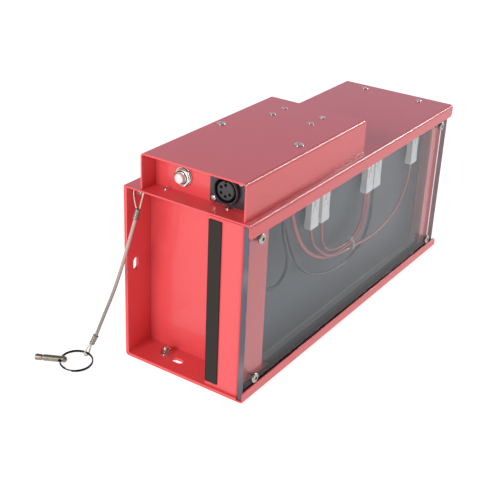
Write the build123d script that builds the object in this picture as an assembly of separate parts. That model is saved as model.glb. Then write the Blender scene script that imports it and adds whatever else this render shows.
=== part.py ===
from build123d import *
import math
import os

# Battery-backed fire alarm supply box, in millimetres.
# X runs along the box (the open fixing bay is at -X), the window faces -Y, Z is up.
# The origin is on the floor under the middle of the box.

# ---- driving dimensions ----
boxLength = 363.0
boxWidth = 121.0
boxHeight = 157.5
sheet = 1.5
bendRadius = 2.25
halfLength = boxLength / 2
halfWidth = boxWidth / 2
fit = 0.1

# lid and tray
lidBottom = boxHeight - sheet
lidFlange = 12.0
trayFlange = 10.5
flangeNose = 5.0
chassisTop = 2 * sheet

# fixing bay and end walls
bayBackX = -151.5
bayEdgeY = -19.5
frontWallX = -179.5
innerFlangeFront = 34.0
innerFlangeRear = 22.5
rearWallX = 175.0
topFlangeZ = lidBottom - sheet

# slots of the bay
slotWidth = 6.2
floorSlotLength = 10.8
floorSlot = (-165.7, 17.1)
wallSlotLength = 11.5
wallSlot = (-170.5, 84.3)

# stud and nut on the bay's floor
bayStudPlace = (-162.5, 32.0)
bayStudRadius = 2.5
bayStudZ = (0.4, 9.6)
bayWasherRadius = 4.9
bayWasherThickness = 0.8
bayNutFlats = 7.6
bayNutThickness = 3.6

# window
windowThickness = 4.9
windowEdge = 1.2
windowOuterY = -halfWidth + sheet + fit
windowInnerY = windowOuterY + windowThickness
windowX = (-180.0, 174.5)
windowZ = (chassisTop - sheet + fit, lidBottom - fit)
windowScrewX = (-164.0, 160.0)
windowScrewZ = (16.0, 140.6)
windowHole = 2.7
windowScrewHead = 4.4
windowScrewHeight = 2.2
windowScrewShank = 2.4
windowScrewLength = 12.0
windowScrewSocket = 3.0
rivetNutHole = 3.5
rivetNutSleeve = 3.4
rivetNutBore = 2.5
rivetNutCollar = 5.0
rivetNutLength = 9.0

# soft strip on the front wall
stripY = (-33.7, -21.8)
stripZ = (7.0, 152.0)
stripThickness = 1.2

# upper housing
housingX = (-179.6, 3.4)
housingY = (-54.35, 44.7)
housingTop = 188.2
panelX = -163.0
panelCorner = 1.6
panelTab = 12.0
pillarX = -86.2
pillarY = (-41.0, 34.7)
pillarRadius = 4.0
pillarBore = 1.55
pillarScrewHead = 3.9
pillarScrewHeight = 1.1
boardScrewX = (-37.0, -17.4)
boardScrewY = (-22.4, 15.8)
boardX = (-62.0, -2.0)
boardY = (-30.0, 30.0)
boardThickness = 1.6
standoffLength = 6.0
standoffFlats = 5.0
boardTop = housingTop - sheet - standoffLength
boardBottom = boardTop - boardThickness
boardScrewHead = 2.8
boardScrewHeight = 0.9
boardScrewShank = 1.2
boardScrewHole = 1.3
ledgeScrewX = -166.2
ledgeScrewY = 29.7
ledgeScrewHead = 2.5
ledgeScrewHeight = 1.2
lidScrewX = 169.0
lidScrewY = (-28.0, 33.0)
lidScrewHead = 3.0
lidScrewHeight = 1.4

# five pole socket
socketY = -27.4
socketZ = 171.8
socketFlangeY = 32.0
socketFlangeZ = 26.0
socketFlange = 2.0
socketFlangeCorner = 1.2
socketHole = 12.0
socketRing = 11.6
socketRingOut = 5.4
socketBore = 9.8
socketBoreDepth = 15.0
socketInsert = 7.8
socketInsertOut = 4.6
socketScrewY = 12.2
socketScrewZ = 9.3
socketScrewDrop = 0.7
socketScrewHead = 2.6
socketScrewHeight = 1.3
socketScrewLength = 9.0
socketNutFlats = 4.5
socketNutThickness = 2.2
socketRearX = -141.0
contactCircle = 4.6
contactRadius = 1.1
contactCount = 5
contactStart = 210.0
contactStep = 60.0
contactDepth = 3.4

# resettable breaker
breakerY = 15.0
breakerZ = 171.0
breakerNeck = 5.5
breakerWasher = 8.0
breakerWasherThickness = 1.0
breakerNutFlats = 13.0
breakerNutThickness = 2.5
breakerNeckOut = 4.4
buttonRadius = 4.0
buttonOut = 7.2
buttonTravel = 2.2
breakerRearX = -129.0
breakerBlade = 8.0
breakerBladeY = (10.0, 20.0)
breakerCaseY = 20.0
breakerCaseZ = 15.0

# wires through the lid
grommetX = -104.5
grommetY = -42.2
grommetHole = 9.0
grommetLip = 1.6
redWire = 1.3
thickRedWire = 1.9
blackWire = 1.5

# mounting plate behind the wires
plateY = -36.5
plateX = (-122.0, 171.0)
plateTop = 128.0
plateFootY = -52.2

# battery and charger
batteryX = (-70.0, 81.0)
batteryY = (-18.0, 47.0)
batteryZ = (chassisTop, chassisTop + 94.0)
batteryCapHeight = 9.0
tabX = (-60.0, 71.0)
tabY = -8.0
tabWidth = 6.3
tabThickness = 0.8
clampWidth = 40.0
clampHeight = 28.0
clampFoot = 14.0
clampScrewPitch = 24.0
chargerX = (98.0, 160.0)
chargerY = (-10.0, 45.0)
chargerHeight = 42.0
chargerEar = 9.0
chargerEarWidth = 18.0
chargerEarThickness = 3.0

# small screws and holes
screwShank = 1.5
screwHole = 1.6
nutHole = 1.55
floorScrewHead = 2.9
floorScrewHeight = 1.3

# plug board under the lid
plugBoardX = (-80.0, 150.0)
plugBoardY = (-52.0, -37.6)
plugSpacerX = (-20.0, 90.0, 146.0)
plugSpacerY = -40.6
plugSpacerRadius = 2.5
plugBoardTop = 150.0
plugX = (-60.75, -42.5, 38.5, 53.5, 131.75)
plugY = -43.5
plugSizeX = 13.0
plugSizeY = 6.5
plugBottom = 107.0
plugTop = 141.0
headerTop = plugBoardTop - boardThickness
headerSizeX = 14.2
headerSizeY = 8.4
plugRibWidth = 3.0
plugRibOut = 0.8
plugRibLength = 14.0

# tie round the red wires
tieX = 4.0
tieY = -49.0
tieZ = 67.5
tieWidth = 2.5
tieInnerY = 7.6
tieInnerZ = 8.6
tieThickness = 0.65
tieCorner = 1.7
tieHeadHeight = 2.4

# lanyard, ring and pin
anchorX = -171.0
anchorY = 51.0
anchorRadius = 2.0
anchorLength = 6.0
anchorWasherZ = 152.0
anchorWasherRadius = 4.0
anchorWasherThickness = 0.7
anchorNutFlats = 6.6
anchorNutThickness = 2.6
upperEyeZ = 153.6
lowerEyeZ = 0.85
cableRadius = 1.5
strandRadius = 0.75
ferruleRadius = 2.4
ringCentre = (-217.5, 84.3)
ringRadius = 13.6
ringWire = 1.1
ringEyeAngle = 2.0
ringPinAngle = 118.0
ringHigh = 3.2
ringTilt = 4.76
ringTiltAngle = 48.0
pinRadius = 2.75
pinLength = 27.5
pinHole = 1.65
pinEye = 3.0
pinGroove = 0.5
pinGrooveWidth = 1.6

# The lanyard's cable from one ferrule to the other, hanging out over the bay's edge.
cableRoute = [
    (-180.0, 50.0, 130.0),
    (-184.0, 53.6, 110.0),
    (-187.4, 59.6, 84.0),
    (-190.6, 66.0, 61.0),
    (-194.2, 72.4, 41.5),
    (-198.4, 78.6, 20.5),
]
upperFerrule = [(-177.4, 49.2, 138.5), (-180.0, 50.0, 130.0)]
lowerFerrule = [(-198.4, 78.6, 20.5), (-201.2, 81.3, 12.4)]


def box(x, y, z):
    """A block between two X, two Y and two Z values."""
    size = (x[1] - x[0], y[1] - y[0], z[1] - z[0])
    middle = ((x[0] + x[1]) / 2, (y[0] + y[1]) / 2, (z[0] + z[1]) / 2)
    return Pos(*middle) * Box(*size)


def rod(start, end, radius):
    """A round bar between two points."""
    path = Line(start, end)
    section = Plane(origin=start, z_dir=path % 0) * Circle(radius)
    return extrude(section, path.length)


def along(centre, axis, profile, length, start=0.0):
    """A sketch pushed along an axis direction from a centre point."""
    direction = Vector(*axis)
    origin = Vector(*centre) + direction * start
    return extrude(Plane(origin=origin, z_dir=direction) * profile, length)


def hexBar(flats):
    """A hexagon by its width across flats."""
    return RegularPolygon(flats / 2, 6, major_radius=False)


def bentSheet(points, plane, length, radius=bendRadius):
    """A folded sheet from the middle line of its section."""
    corners = [Vector(*p) for p in points]
    trim = sheet / 2
    corners[0] += (corners[1] - corners[0]).normalized() * trim
    corners[-1] += (corners[-2] - corners[-1]).normalized() * trim
    line = FilletPolyline(*corners, radius=[radius] * (len(corners) - 2))
    section = make_face(offset(line, sheet / 2, kind=Kind.INTERSECTION, side=Side.BOTH))
    return extrude(plane * section, length)


def slot(centre, axis, length, width, depth, turn=0.0):
    """A round ended slot cutter through a wall."""
    profile = Rot(0, 0, turn) * SlotOverall(length, width)
    return along(centre, axis, profile, 2 * depth, -depth)


def wire(points, radius, name, smallest):
    """A round tube of straight runs and tangent arcs as large as the runs allow."""
    corners = [Vector(*p) for p in points]
    radii = []
    for before, corner, after in zip(corners, corners[1:], corners[2:]):
        first = corner - before
        second = after - corner
        half = math.radians(first.get_angle(second)) / 2
        radii.append(0.45 * min(first.length, second.length) / math.tan(half))
    path = FilletPolyline(*points, radius=radii)
    tube = sweep(Plane(origin=points[0], z_dir=path % 0) * Circle(radius), path=path)
    expected = math.pi * radius ** 2 * path.length
    print(name, "length", round(path.length, 1), "radii", [round(r, 1) for r in radii],
          "volume ratio", round(tube.volume / expected, 4))
    if min(radii) < smallest:
        print(name, "has a bend under", smallest)
    return tube


def buttonScrew(centre, axis, head, headHeight, shank, length, socket):
    """A domed screw with a hexagon socket; the axis points out of the head."""
    dome = along(centre, axis, Circle(head), headHeight)
    dome = fillet(dome.edges().group_by(lambda e: (e.center() - Vector(*centre)).dot(Vector(*axis)))[-1],
                  headHeight * 0.6)
    dome -= along(centre, axis, hexBar(socket), headHeight, headHeight * 0.4)
    return dome + along(centre, axis, Circle(shank), length, -length)


def panScrew(centre, axis, head, headHeight, shank, length):
    """A low headed screw with a cross recess; the axis points out of the head."""
    dome = along(centre, axis, Circle(head), headHeight)
    dome = fillet(dome.edges().group_by(lambda e: (e.center() - Vector(*centre)).dot(Vector(*axis)))[-1],
                  headHeight * 0.5)
    arm = head * 0.24
    recess = Rectangle(head * 1.1, arm) + Rectangle(arm, head * 1.1)
    dome -= along(centre, axis, recess, headHeight, headHeight * 0.45)
    return dome + along(centre, axis, Circle(shank), length, -length)


def nut(centre, axis, flats, height, hole):
    """A plain hexagon nut with its base at the centre point."""
    return along(centre, axis, hexBar(flats) - Circle(hole), height)


# ---- sheet metal ----

def outerTray():
    """Floor, back wall and the low lip in front of the window."""
    low = sheet / 2
    edge = halfWidth - sheet / 2
    points = [(-edge, trayFlange), (-edge, low), (edge, low), (edge, lidBottom)]
    plane = Plane(origin=(-halfLength, 0, 0), x_dir=(0, 1, 0), z_dir=(1, 0, 0))
    body = bentSheet(points, plane, boxLength)
    for side in (-1, 1):
        corner = Pos(side * halfLength, -edge, trayFlange) * Box(2 * flangeNose, 2 * sheet, 2 * flangeNose)
        nose = along((side * (halfLength - flangeNose), -edge, trayFlange - flangeNose), (0, 1, 0),
                     Circle(flangeNose), 4 * sheet, -2 * sheet)
        body -= corner - nose
    body -= slot((*floorSlot, 0), (0, 0, 1), floorSlotLength, slotWidth, 3 * sheet, 90)
    body -= wallSlotCutter()
    body -= along((*bayStudPlace, 0), (0, 0, 1), Circle(bayStudRadius + fit), 3 * sheet, -sheet)
    return body


def wallSlotCutter():
    """The upright slot through the two layers of the back wall."""
    profile = SlotOverall(wallSlotLength, slotWidth)
    plane = Plane(origin=(wallSlot[0], halfWidth + sheet, wallSlot[1]), x_dir=(0, 0, 1), z_dir=(0, -1, 0))
    return extrude(plane * profile, 6 * sheet)


def innerChassis():
    """Inner floor and inner back wall, nested in the outer tray."""
    floor = 1.5 * sheet
    edge = halfWidth - 1.5 * sheet
    points = [(windowInnerY + fit, floor), (edge, floor), (edge, lidBottom)]
    plane = Plane(origin=(-halfLength, 0, 0), x_dir=(0, 1, 0), z_dir=(1, 0, 0))
    body = bentSheet(points, plane, boxLength)
    body -= slot((*floorSlot, 0), (0, 0, 1), floorSlotLength, slotWidth, 3 * sheet, 90)
    body -= wallSlotCutter()
    body -= along((*bayStudPlace, 0), (0, 0, 1), Circle(bayStudRadius + fit), 3 * sheet)
    return body


def wallPlane():
    """Plan plane on the inner floor."""
    return Plane(origin=(0, 0, chassisTop), x_dir=(1, 0, 0), z_dir=(0, 0, 1))


def cornerRelief(x):
    """Room for the chassis's bend at the foot of a wall."""
    inner = halfWidth - 2 * sheet
    return box(x, (inner - 2.5, inner + sheet), (chassisTop, chassisTop + 2.5))


def frontBulkhead():
    """Bay back, bay side, front wall and the window's front flange, folded from one sheet."""
    half = sheet / 2
    wallY = halfWidth - 2 * sheet - fit
    sideY = bayEdgeY - half
    flangeY = windowInnerY + fit + half
    points = [(bayBackX + half, wallY), (bayBackX + half, sideY), (frontWallX + half, sideY),
              (frontWallX + half, flangeY), (frontWallX + innerFlangeFront, flangeY)]
    body = bentSheet(points, wallPlane(), topFlangeZ - chassisTop)
    body += box((frontWallX + 2, bayBackX + sheet), (bayEdgeY + half, wallY), (topFlangeZ, lidBottom))
    body -= cornerRelief((bayBackX - sheet, bayBackX + 3 * sheet))
    for z in windowScrewZ:
        body -= along((windowScrewX[0], flangeY, z), (0, 1, 0), Circle(rivetNutHole), 2 * sheet, -sheet)
    for y in (-ledgeScrewY, ledgeScrewY):
        body -= along((ledgeScrewX, y, topFlangeZ), (0, 0, 1), Circle(screwHole), 2 * sheet, -sheet / 2)
    return body


def rearBulkhead():
    """End wall with the window's rear flange and a top flange for the lid's screws."""
    half = sheet / 2
    wallY = halfWidth - 2 * sheet - fit
    flangeY = windowInnerY + fit + half
    points = [(rearWallX - half, wallY), (rearWallX - half, flangeY),
              (rearWallX - innerFlangeRear, flangeY)]
    body = bentSheet(points, wallPlane(), topFlangeZ - chassisTop)
    body += box((rearWallX - 14, rearWallX), (windowInnerY + 4, wallY), (topFlangeZ, lidBottom))
    body -= cornerRelief((rearWallX - 3 * sheet, rearWallX + sheet))
    for z in windowScrewZ:
        body -= along((windowScrewX[1], flangeY, z), (0, 1, 0), Circle(rivetNutHole), 2 * sheet, -sheet)
    for y in lidScrewY:
        body -= along((lidScrewX, y, topFlangeZ), (0, 0, 1), Circle(screwHole), 2 * sheet, -sheet / 2)
    return body


def lid():
    """Top sheet with a flange folded down over the window's upper edge."""
    half = sheet / 2
    points = [(-halfWidth + half, boxHeight - lidFlange), (-halfWidth + half, boxHeight - half),
              (halfWidth, boxHeight - half)]
    plane = Plane(origin=(-halfLength, 0, 0), x_dir=(0, 1, 0), z_dir=(1, 0, 0))
    body = bentSheet(points, plane, boxLength)
    for side in (-1, 1):
        cut = Pos(side * halfLength, -halfWidth + half, boxHeight - lidFlange) * Rot(0, 45, 0)
        body -= cut * Box(4, 3 * sheet, 4)
    body -= along((grommetX, grommetY, lidBottom), (0, 0, 1), Circle(grommetHole), 4 * sheet, -sheet)
    for y in (-ledgeScrewY, ledgeScrewY):
        body -= along((ledgeScrewX, y, lidBottom), (0, 0, 1), Circle(screwHole), 4 * sheet, -sheet)
    for y in lidScrewY:
        body -= along((lidScrewX, y, lidBottom), (0, 0, 1), Circle(screwHole), 4 * sheet, -sheet)
    for y in pillarY:
        body -= along((pillarX, y, lidBottom), (0, 0, 1), Circle(screwHole), 4 * sheet, -sheet)
    return body


def housingCover():
    """Upper housing: two long sides, top and rear wall."""
    half = sheet / 2
    y = (housingY[0] + half, housingY[1] - half)
    points = [(y[0], boxHeight), (y[0], housingTop - half), (y[1], housingTop - half), (y[1], boxHeight)]
    plane = Plane(origin=(housingX[0], 0, 0), x_dir=(0, 1, 0), z_dir=(1, 0, 0))
    body = bentSheet(points, plane, housingX[1] - housingX[0])
    body += box((housingX[1] - sheet, housingX[1]), (housingY[0] + sheet, housingY[1] - sheet),
                (boxHeight, housingTop - sheet))
    for y in pillarY:
        body -= along((pillarX, y, housingTop), (0, 0, 1), Circle(screwHole), 4 * sheet, -2 * sheet)
    for x in boardScrewX:
        for y in boardScrewY:
            body -= along((x, y, housingTop), (0, 0, 1), Circle(boardScrewHole), 4 * sheet, -2 * sheet)
    return body


def housingPanel():
    """Recessed front panel that carries the socket and the breaker."""
    y = (housingY[0] + sheet + fit, housingY[1] - sheet - fit)
    top = housingTop - sheet - fit
    body = box((panelX, panelX + sheet), y, (boxHeight, top))
    body = chamfer(body.edges().filter_by(Axis.X).group_by(Axis.Z)[-1], panelCorner)
    body += box((panelX, panelX + panelTab), (y[0] + 3, y[1] - 3), (boxHeight, boxHeight + sheet))
    body += box((panelX, panelX + panelTab), (y[0] + 3, y[1] - 3), (top - sheet, top))
    body -= along((panelX, socketY, socketZ), (-1, 0, 0), Circle(socketHole), 20, -18)
    body -= along((panelX, breakerY, breakerZ), (-1, 0, 0), Circle(breakerNeck + fit), 4 * sheet, -2 * sheet)
    for y, z in socketScrewPlaces():
        body -= along((panelX, y, z), (-1, 0, 0), Circle(screwHole), 4 * sheet, -2 * sheet)
    return body


def windowPanel():
    """Clear plastic sheet between the lid's flange and the tray's lip."""
    body = box(windowX, (windowOuterY, windowInnerY), windowZ)
    body = chamfer(body.edges().filter_by(Axis.X).group_by(Axis.Y)[0], windowEdge)
    for x in windowScrewX:
        for z in windowScrewZ:
            body -= along((x, windowOuterY, z), (0, -1, 0), Circle(windowHole), 20, -10)
    return body


def windowScrews():
    """Four socket screws through the window."""
    screws = [buttonScrew((x, windowOuterY, z), (0, -1, 0), windowScrewHead, windowScrewHeight,
                          windowScrewShank, windowScrewLength, windowScrewSocket)
              for x in windowScrewX for z in windowScrewZ]
    return Compound(screws)


def windowNuts():
    """Four rivet nuts in the flanges behind the window."""
    base = windowInnerY + fit + sheet
    nuts = []
    for x in windowScrewX:
        for z in windowScrewZ:
            collar = along((x, base, z), (0, 1, 0), Circle(rivetNutCollar) - Circle(rivetNutBore), 1.0)
            sleeve = along((x, base, z), (0, 1, 0), Circle(rivetNutSleeve) - Circle(rivetNutBore),
                           rivetNutLength, -sheet)
            nuts.append(collar + sleeve)
    return Compound(nuts)


def edgeStrip():
    """Soft black strip stuck on the front wall."""
    return box((frontWallX - stripThickness, frontWallX), stripY, stripZ)


# ---- upper housing ----

def pillars():
    """Two hexagon pillars that tie the cover to the lid."""
    height = housingTop - sheet - boxHeight
    bars = [along((pillarX, y, boxHeight), (0, 0, 1), hexBar(2 * pillarRadius) - Circle(pillarBore), height)
            for y in pillarY]
    return Compound(bars)


def pillarScrews():
    """Two larger screws on top of the housing and two under the lid."""
    screws = []
    for y in pillarY:
        screws.append(panScrew((pillarX, y, housingTop), (0, 0, 1), pillarScrewHead, pillarScrewHeight,
                               screwShank, 12))
        screws.append(panScrew((pillarX, y, lidBottom), (0, 0, -1), 3.2, 1.8, screwShank, 10))
    return Compound(screws)


def boardScrews():
    """Four smaller screws on top of the housing."""
    return Compound([panScrew((x, y, housingTop), (0, 0, 1), boardScrewHead, boardScrewHeight,
                              boardScrewShank, 5)
                     for x in boardScrewX for y in boardScrewY])


def boardStandoffs():
    """Four spacers that hang the control board from the cover."""
    tube = hexBar(standoffFlats) - Circle(boardScrewShank + fit / 2)
    return Compound([along((x, y, boardTop), (0, 0, 1), tube, standoffLength)
                     for x in boardScrewX for y in boardScrewY])


def controlBoard():
    """Charge control board under the cover."""
    return box(boardX, boardY, (boardBottom, boardTop))


def boardRelay():
    """Sealed relay on the board's lower face."""
    body = box((-56, -37), (-8, 7.5), (boardBottom - 15, boardBottom))
    return fillet(body.edges().filter_by(Axis.Z), 0.8)


def boardCapacitors():
    """Three standing capacitors."""
    return Compound([along((x, 20, boardBottom), (0, 0, -1), Circle(4.0), 14) for x in (-54, -43, -32)])


def boardTerminals():
    """Screw terminal row at the board's rear edge."""
    body = box((-14, -5), (-20, 20), (boardBottom - 10, boardBottom))
    for k in range(8):
        y = -17.5 + 5 * k
        body -= along((-9.5, y, boardBottom - 10), (0, 0, 1), Circle(1.6), 4)
        body -= box((-15, -10), (y - 1.5, y + 1.5), (boardBottom - 5, boardBottom - 2))
    return body


def ledgeScrews():
    """Two screws on the ledge in front of the panel."""
    return Compound([panScrew((ledgeScrewX, y, boxHeight), (0, 0, 1), ledgeScrewHead, ledgeScrewHeight,
                              screwShank, 6)
                     for y in (-ledgeScrewY, ledgeScrewY)])


def lidScrews():
    """Two screws at the lid's rear end."""
    return Compound([panScrew((lidScrewX, y, boxHeight), (0, 0, 1), lidScrewHead, lidScrewHeight,
                              screwShank, 6) for y in lidScrewY])


# ---- socket ----

def socketShell():
    """Flange with a round shell and a raised ring."""
    front = (panelX, socketY, socketZ)
    y = (socketY - socketFlangeY / 2, socketY + socketFlangeY / 2)
    z = (socketZ - socketFlangeZ / 2, socketZ + socketFlangeZ / 2)
    flange = box((panelX - socketFlange, panelX), y, z)
    flange = fillet(flange.edges().filter_by(Axis.X), socketFlangeCorner)
    ring = along(front, (-1, 0, 0), Circle(socketRing), socketRingOut)
    barrel = along(front, (1, 0, 0), Circle(socketRing), socketRearX - panelX)
    body = flange + ring + barrel
    body -= along(front, (1, 0, 0), Circle(socketBore), socketBoreDepth + socketRingOut, -socketRingOut)
    for y, z in socketScrewPlaces():
        body -= along((panelX, y, z), (-1, 0, 0), Circle(screwHole), 20, -10)
    for y, z in contactPlaces():
        body -= along((panelX, y, z), (1, 0, 0), Circle(contactRadius + 2 * fit), 30)
    return body


def socketScrewPlaces():
    """The two flange screws on a diagonal, a little below the socket's middle."""
    return [(socketY + side * socketScrewY, socketZ - socketScrewDrop - side * socketScrewZ)
            for side in (-1, 1)]


def contactPlaces():
    """Five contacts spread over most of a circle."""
    places = []
    for k in range(contactCount):
        turn = math.radians(contactStart + contactStep * k)
        places.append((socketY + contactCircle * math.cos(turn), socketZ + contactCircle * math.sin(turn)))
    return places


def socketInsertBody():
    """Round plastic core with five contact holes."""
    start = panelX + socketBoreDepth
    length = socketBoreDepth + socketInsertOut
    body = along((start, socketY, socketZ), (-1, 0, 0), Circle(socketInsert), length)
    body = fillet(body.edges().group_by(Axis.X)[0], 0.6)
    for y, z in contactPlaces():
        body -= along((start, y, z), (-1, 0, 0), Circle(contactRadius), 2 * length, -length / 2)
    body -= box((start - length - 1, start - length + 6), (socketY - 0.9, socketY + 0.9),
                (socketZ + socketInsert - 1.4, socketZ + socketInsert + 1))
    return body


def socketContacts():
    """Five contact sleeves with solder ends behind the shell."""
    start = panelX - socketInsertOut + contactDepth
    end = socketRearX + 4
    pins = []
    for y, z in contactPlaces():
        sleeve = along((start, y, z), (1, 0, 0), Circle(contactRadius - fit / 2), end - start)
        sleeve -= along((start, y, z), (1, 0, 0), Circle(0.6), 9)
        pins.append(sleeve)
    return Compound(pins)


def socketScrews():
    """Two flange screws on a diagonal."""
    return Compound([panScrew((panelX - socketFlange, *place), (-1, 0, 0), socketScrewHead,
                              socketScrewHeight, screwShank, socketScrewLength)
                     for place in socketScrewPlaces()])


def socketNuts():
    """Nuts behind the panel for the flange screws."""
    return Compound([nut((panelX + sheet, *place), (1, 0, 0), socketNutFlats, socketNutThickness, nutHole)
                     for place in socketScrewPlaces()])


# ---- breaker ----

def breakerPoint(x):
    """A point on the breaker's centre line."""
    return (x, breakerY, breakerZ)


def breakerBody():
    """Breaker case behind the panel with its threaded neck."""
    inner = panelX + sheet
    case = box((inner, breakerRearX), (breakerY - breakerCaseY / 2, breakerY + breakerCaseY / 2),
               (breakerZ - breakerCaseZ / 2, breakerZ + breakerCaseZ / 2))
    case = fillet(case.edges().filter_by(Axis.X), 1.5)
    neck = along(breakerPoint(inner), (-1, 0, 0), Circle(breakerNeck), sheet + breakerNeckOut)
    body = case + neck
    body -= along(breakerPoint(panelX - breakerNeckOut), (1, 0, 0), Circle(buttonRadius + 0.08), 18)
    return body


def breakerWasherPlate():
    """Bright plain washer on the panel."""
    ring = Circle(breakerWasher) - Circle(breakerNeck + fit)
    return along(breakerPoint(panelX), (-1, 0, 0), ring, breakerWasherThickness)


def breakerNut():
    """Hexagon nut that clamps the breaker to the panel."""
    ring = hexBar(breakerNutFlats) - Circle(breakerNeck + fit)
    return along(breakerPoint(panelX - breakerWasherThickness), (-1, 0, 0), ring, breakerNutThickness)


def breakerButton():
    """Push button with a domed face and a guided stem."""
    length = buttonOut + 6
    body = along(breakerPoint(panelX - buttonOut), (1, 0, 0), Circle(buttonRadius), length)
    return fillet(body.edges().group_by(Axis.X)[0], 0.7)


def breakerBlades():
    """Two push-on blades at the breaker's rear."""
    x = (breakerRearX, breakerRearX + breakerBlade)
    z = (breakerZ - tabWidth / 2, breakerZ + tabWidth / 2)
    half = tabThickness / 2
    return Compound([box(x, (y - half, y + half), z) for y in breakerBladeY])


# ---- inside the box ----

def wireGrommet():
    """Rubber grommet in the lid under the housing."""
    body = along((grommetX, grommetY, lidBottom), (0, 0, 1), Circle(grommetHole - 0.05), sheet)
    body += along((grommetX, grommetY, boxHeight), (0, 0, 1), Circle(grommetHole + grommetLip), 1.5)
    body += along((grommetX, grommetY, lidBottom), (0, 0, -1), Circle(grommetHole + grommetLip), 1.5)
    return body - along((grommetX, grommetY, lidBottom), (0, 0, 1), Circle(grommetHole - grommetLip), 20, -10)


def mountingPlate():
    """Grey plate behind the wires, with a foot folded forward on the floor."""
    half = sheet / 2
    points = [(plateFootY, chassisTop + half), (plateY + half, chassisTop + half), (plateY + half, plateTop)]
    plane = Plane(origin=(plateX[0], 0, 0), x_dir=(0, 1, 0), z_dir=(1, 0, 0))
    return bentSheet(points, plane, plateX[1] - plateX[0])


def batteryCase():
    """Sealed battery with a line where its cap is joined."""
    body = box(batteryX, batteryY, batteryZ)
    body = fillet(body.edges().filter_by(Axis.Z), 2.0)
    seam = batteryZ[1] - batteryCapHeight
    groove = box((batteryX[0] - 1, batteryX[1] + 1), (batteryY[0] - 1, batteryY[1] + 1),
                 (seam - 0.5, seam + 0.5))
    core = box((batteryX[0] + 0.6, batteryX[1] - 0.6), (batteryY[0] + 0.6, batteryY[1] - 0.6),
               (seam - 1, seam + 1))
    return body - (groove - core)


def batteryTabs():
    """The battery's two terminal blades."""
    y = (tabY - tabThickness / 2, tabY + tabThickness / 2)
    z = (batteryZ[1], batteryZ[1] + tabWidth)
    return Compound([box((x - tabWidth / 2, x + tabWidth / 2), y, z) for x in tabX])


def clampScrewPlaces():
    """Screw places of the two angle brackets."""
    middle = sum(batteryY) / 2
    return [(x + side * (fit + clampFoot * 0.6), middle + step * clampScrewPitch / 2)
            for x, side in ((batteryX[0], -1), (batteryX[1], 1)) for step in (-1, 1)]


def batteryClamps():
    """Two angle brackets that stop the battery at its ends."""
    middle = sum(batteryY) / 2
    y = (middle - clampWidth / 2, middle + clampWidth / 2)
    brackets = []
    for x, side in ((batteryX[0], -1), (batteryX[1], 1)):
        near = x + side * fit
        foot = box(sorted((near, near + side * clampFoot)), y, (chassisTop, chassisTop + sheet))
        stop = box(sorted((near, near + side * sheet)), y, (chassisTop, chassisTop + clampHeight))
        bracket = foot + stop
        for place in clampScrewPlaces():
            bracket -= along((*place, chassisTop), (0, 0, 1), Circle(screwHole), 4 * sheet, -sheet)
        brackets.append(bracket)
    return Compound(brackets)


def chargerEarPlaces():
    """Screw places of the charger's two ears."""
    middle = sum(chargerX) / 2
    return [(middle, chargerY[0] - chargerEar / 2), (middle, chargerY[1] + chargerEar / 2)]


def floorScrews():
    """Screws of the angle brackets and the charger's ears."""
    places = [(*place, chassisTop + chargerEarThickness) for place in chargerEarPlaces()]
    places += [(*place, chassisTop + sheet) for place in clampScrewPlaces()]
    return Compound([panScrew(place, (0, 0, 1), floorScrewHead, floorScrewHeight, screwShank,
                              place[2] - chassisTop) for place in places])


def chargerModule():
    """Potted charger block with two fixing ears."""
    body = box(chargerX, chargerY, (chassisTop, chassisTop + chargerHeight))
    body = fillet(body.edges().filter_by(Axis.Z), 2.5)
    body = chamfer(body.edges().group_by(Axis.Z)[-1], 1.2)
    middle = sum(chargerX) / 2
    body += box((middle - chargerEarWidth / 2, middle + chargerEarWidth / 2),
                (chargerY[0] - chargerEar, chargerY[1] + chargerEar),
                (chassisTop, chassisTop + chargerEarThickness))
    for place in chargerEarPlaces():
        body -= along((*place, chassisTop), (0, 0, 1), Circle(screwHole), 10)
    return body


def plugBoard():
    """Long board with the plug headers, hung under the lid."""
    return box(plugBoardX, plugBoardY, (headerTop, plugBoardTop))


def plugBoardSpacers():
    """Three spacers pressed into the lid that hold the long board."""
    return Compound([along((x, plugSpacerY, plugBoardTop), (0, 0, 1), Circle(plugSpacerRadius),
                           lidBottom - plugBoardTop) for x in plugSpacerX])


def plugHeaders():
    """Five headers under the long board."""
    y = (plugY - headerSizeY / 2, plugY + headerSizeY / 2)
    half = headerSizeX / 2
    return Compound([box((x - half, x + half), y, (plugTop, headerTop)) for x in plugX])


def plugHousing(x):
    """White plug housing with a rounded shoulder and a small latch rib."""
    halfX = plugSizeX / 2
    halfY = plugSizeY / 2
    body = box((x - halfX, x + halfX), (plugY - halfY, plugY + halfY), (plugBottom, plugTop))
    body = fillet(body.edges().filter_by(Axis.Z), 0.8)
    front = plugY - halfY
    return body + box((x - plugRibWidth / 2, x + plugRibWidth / 2), (front - plugRibOut, front + 1),
                      (plugTop - plugRibLength, plugTop))


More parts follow.
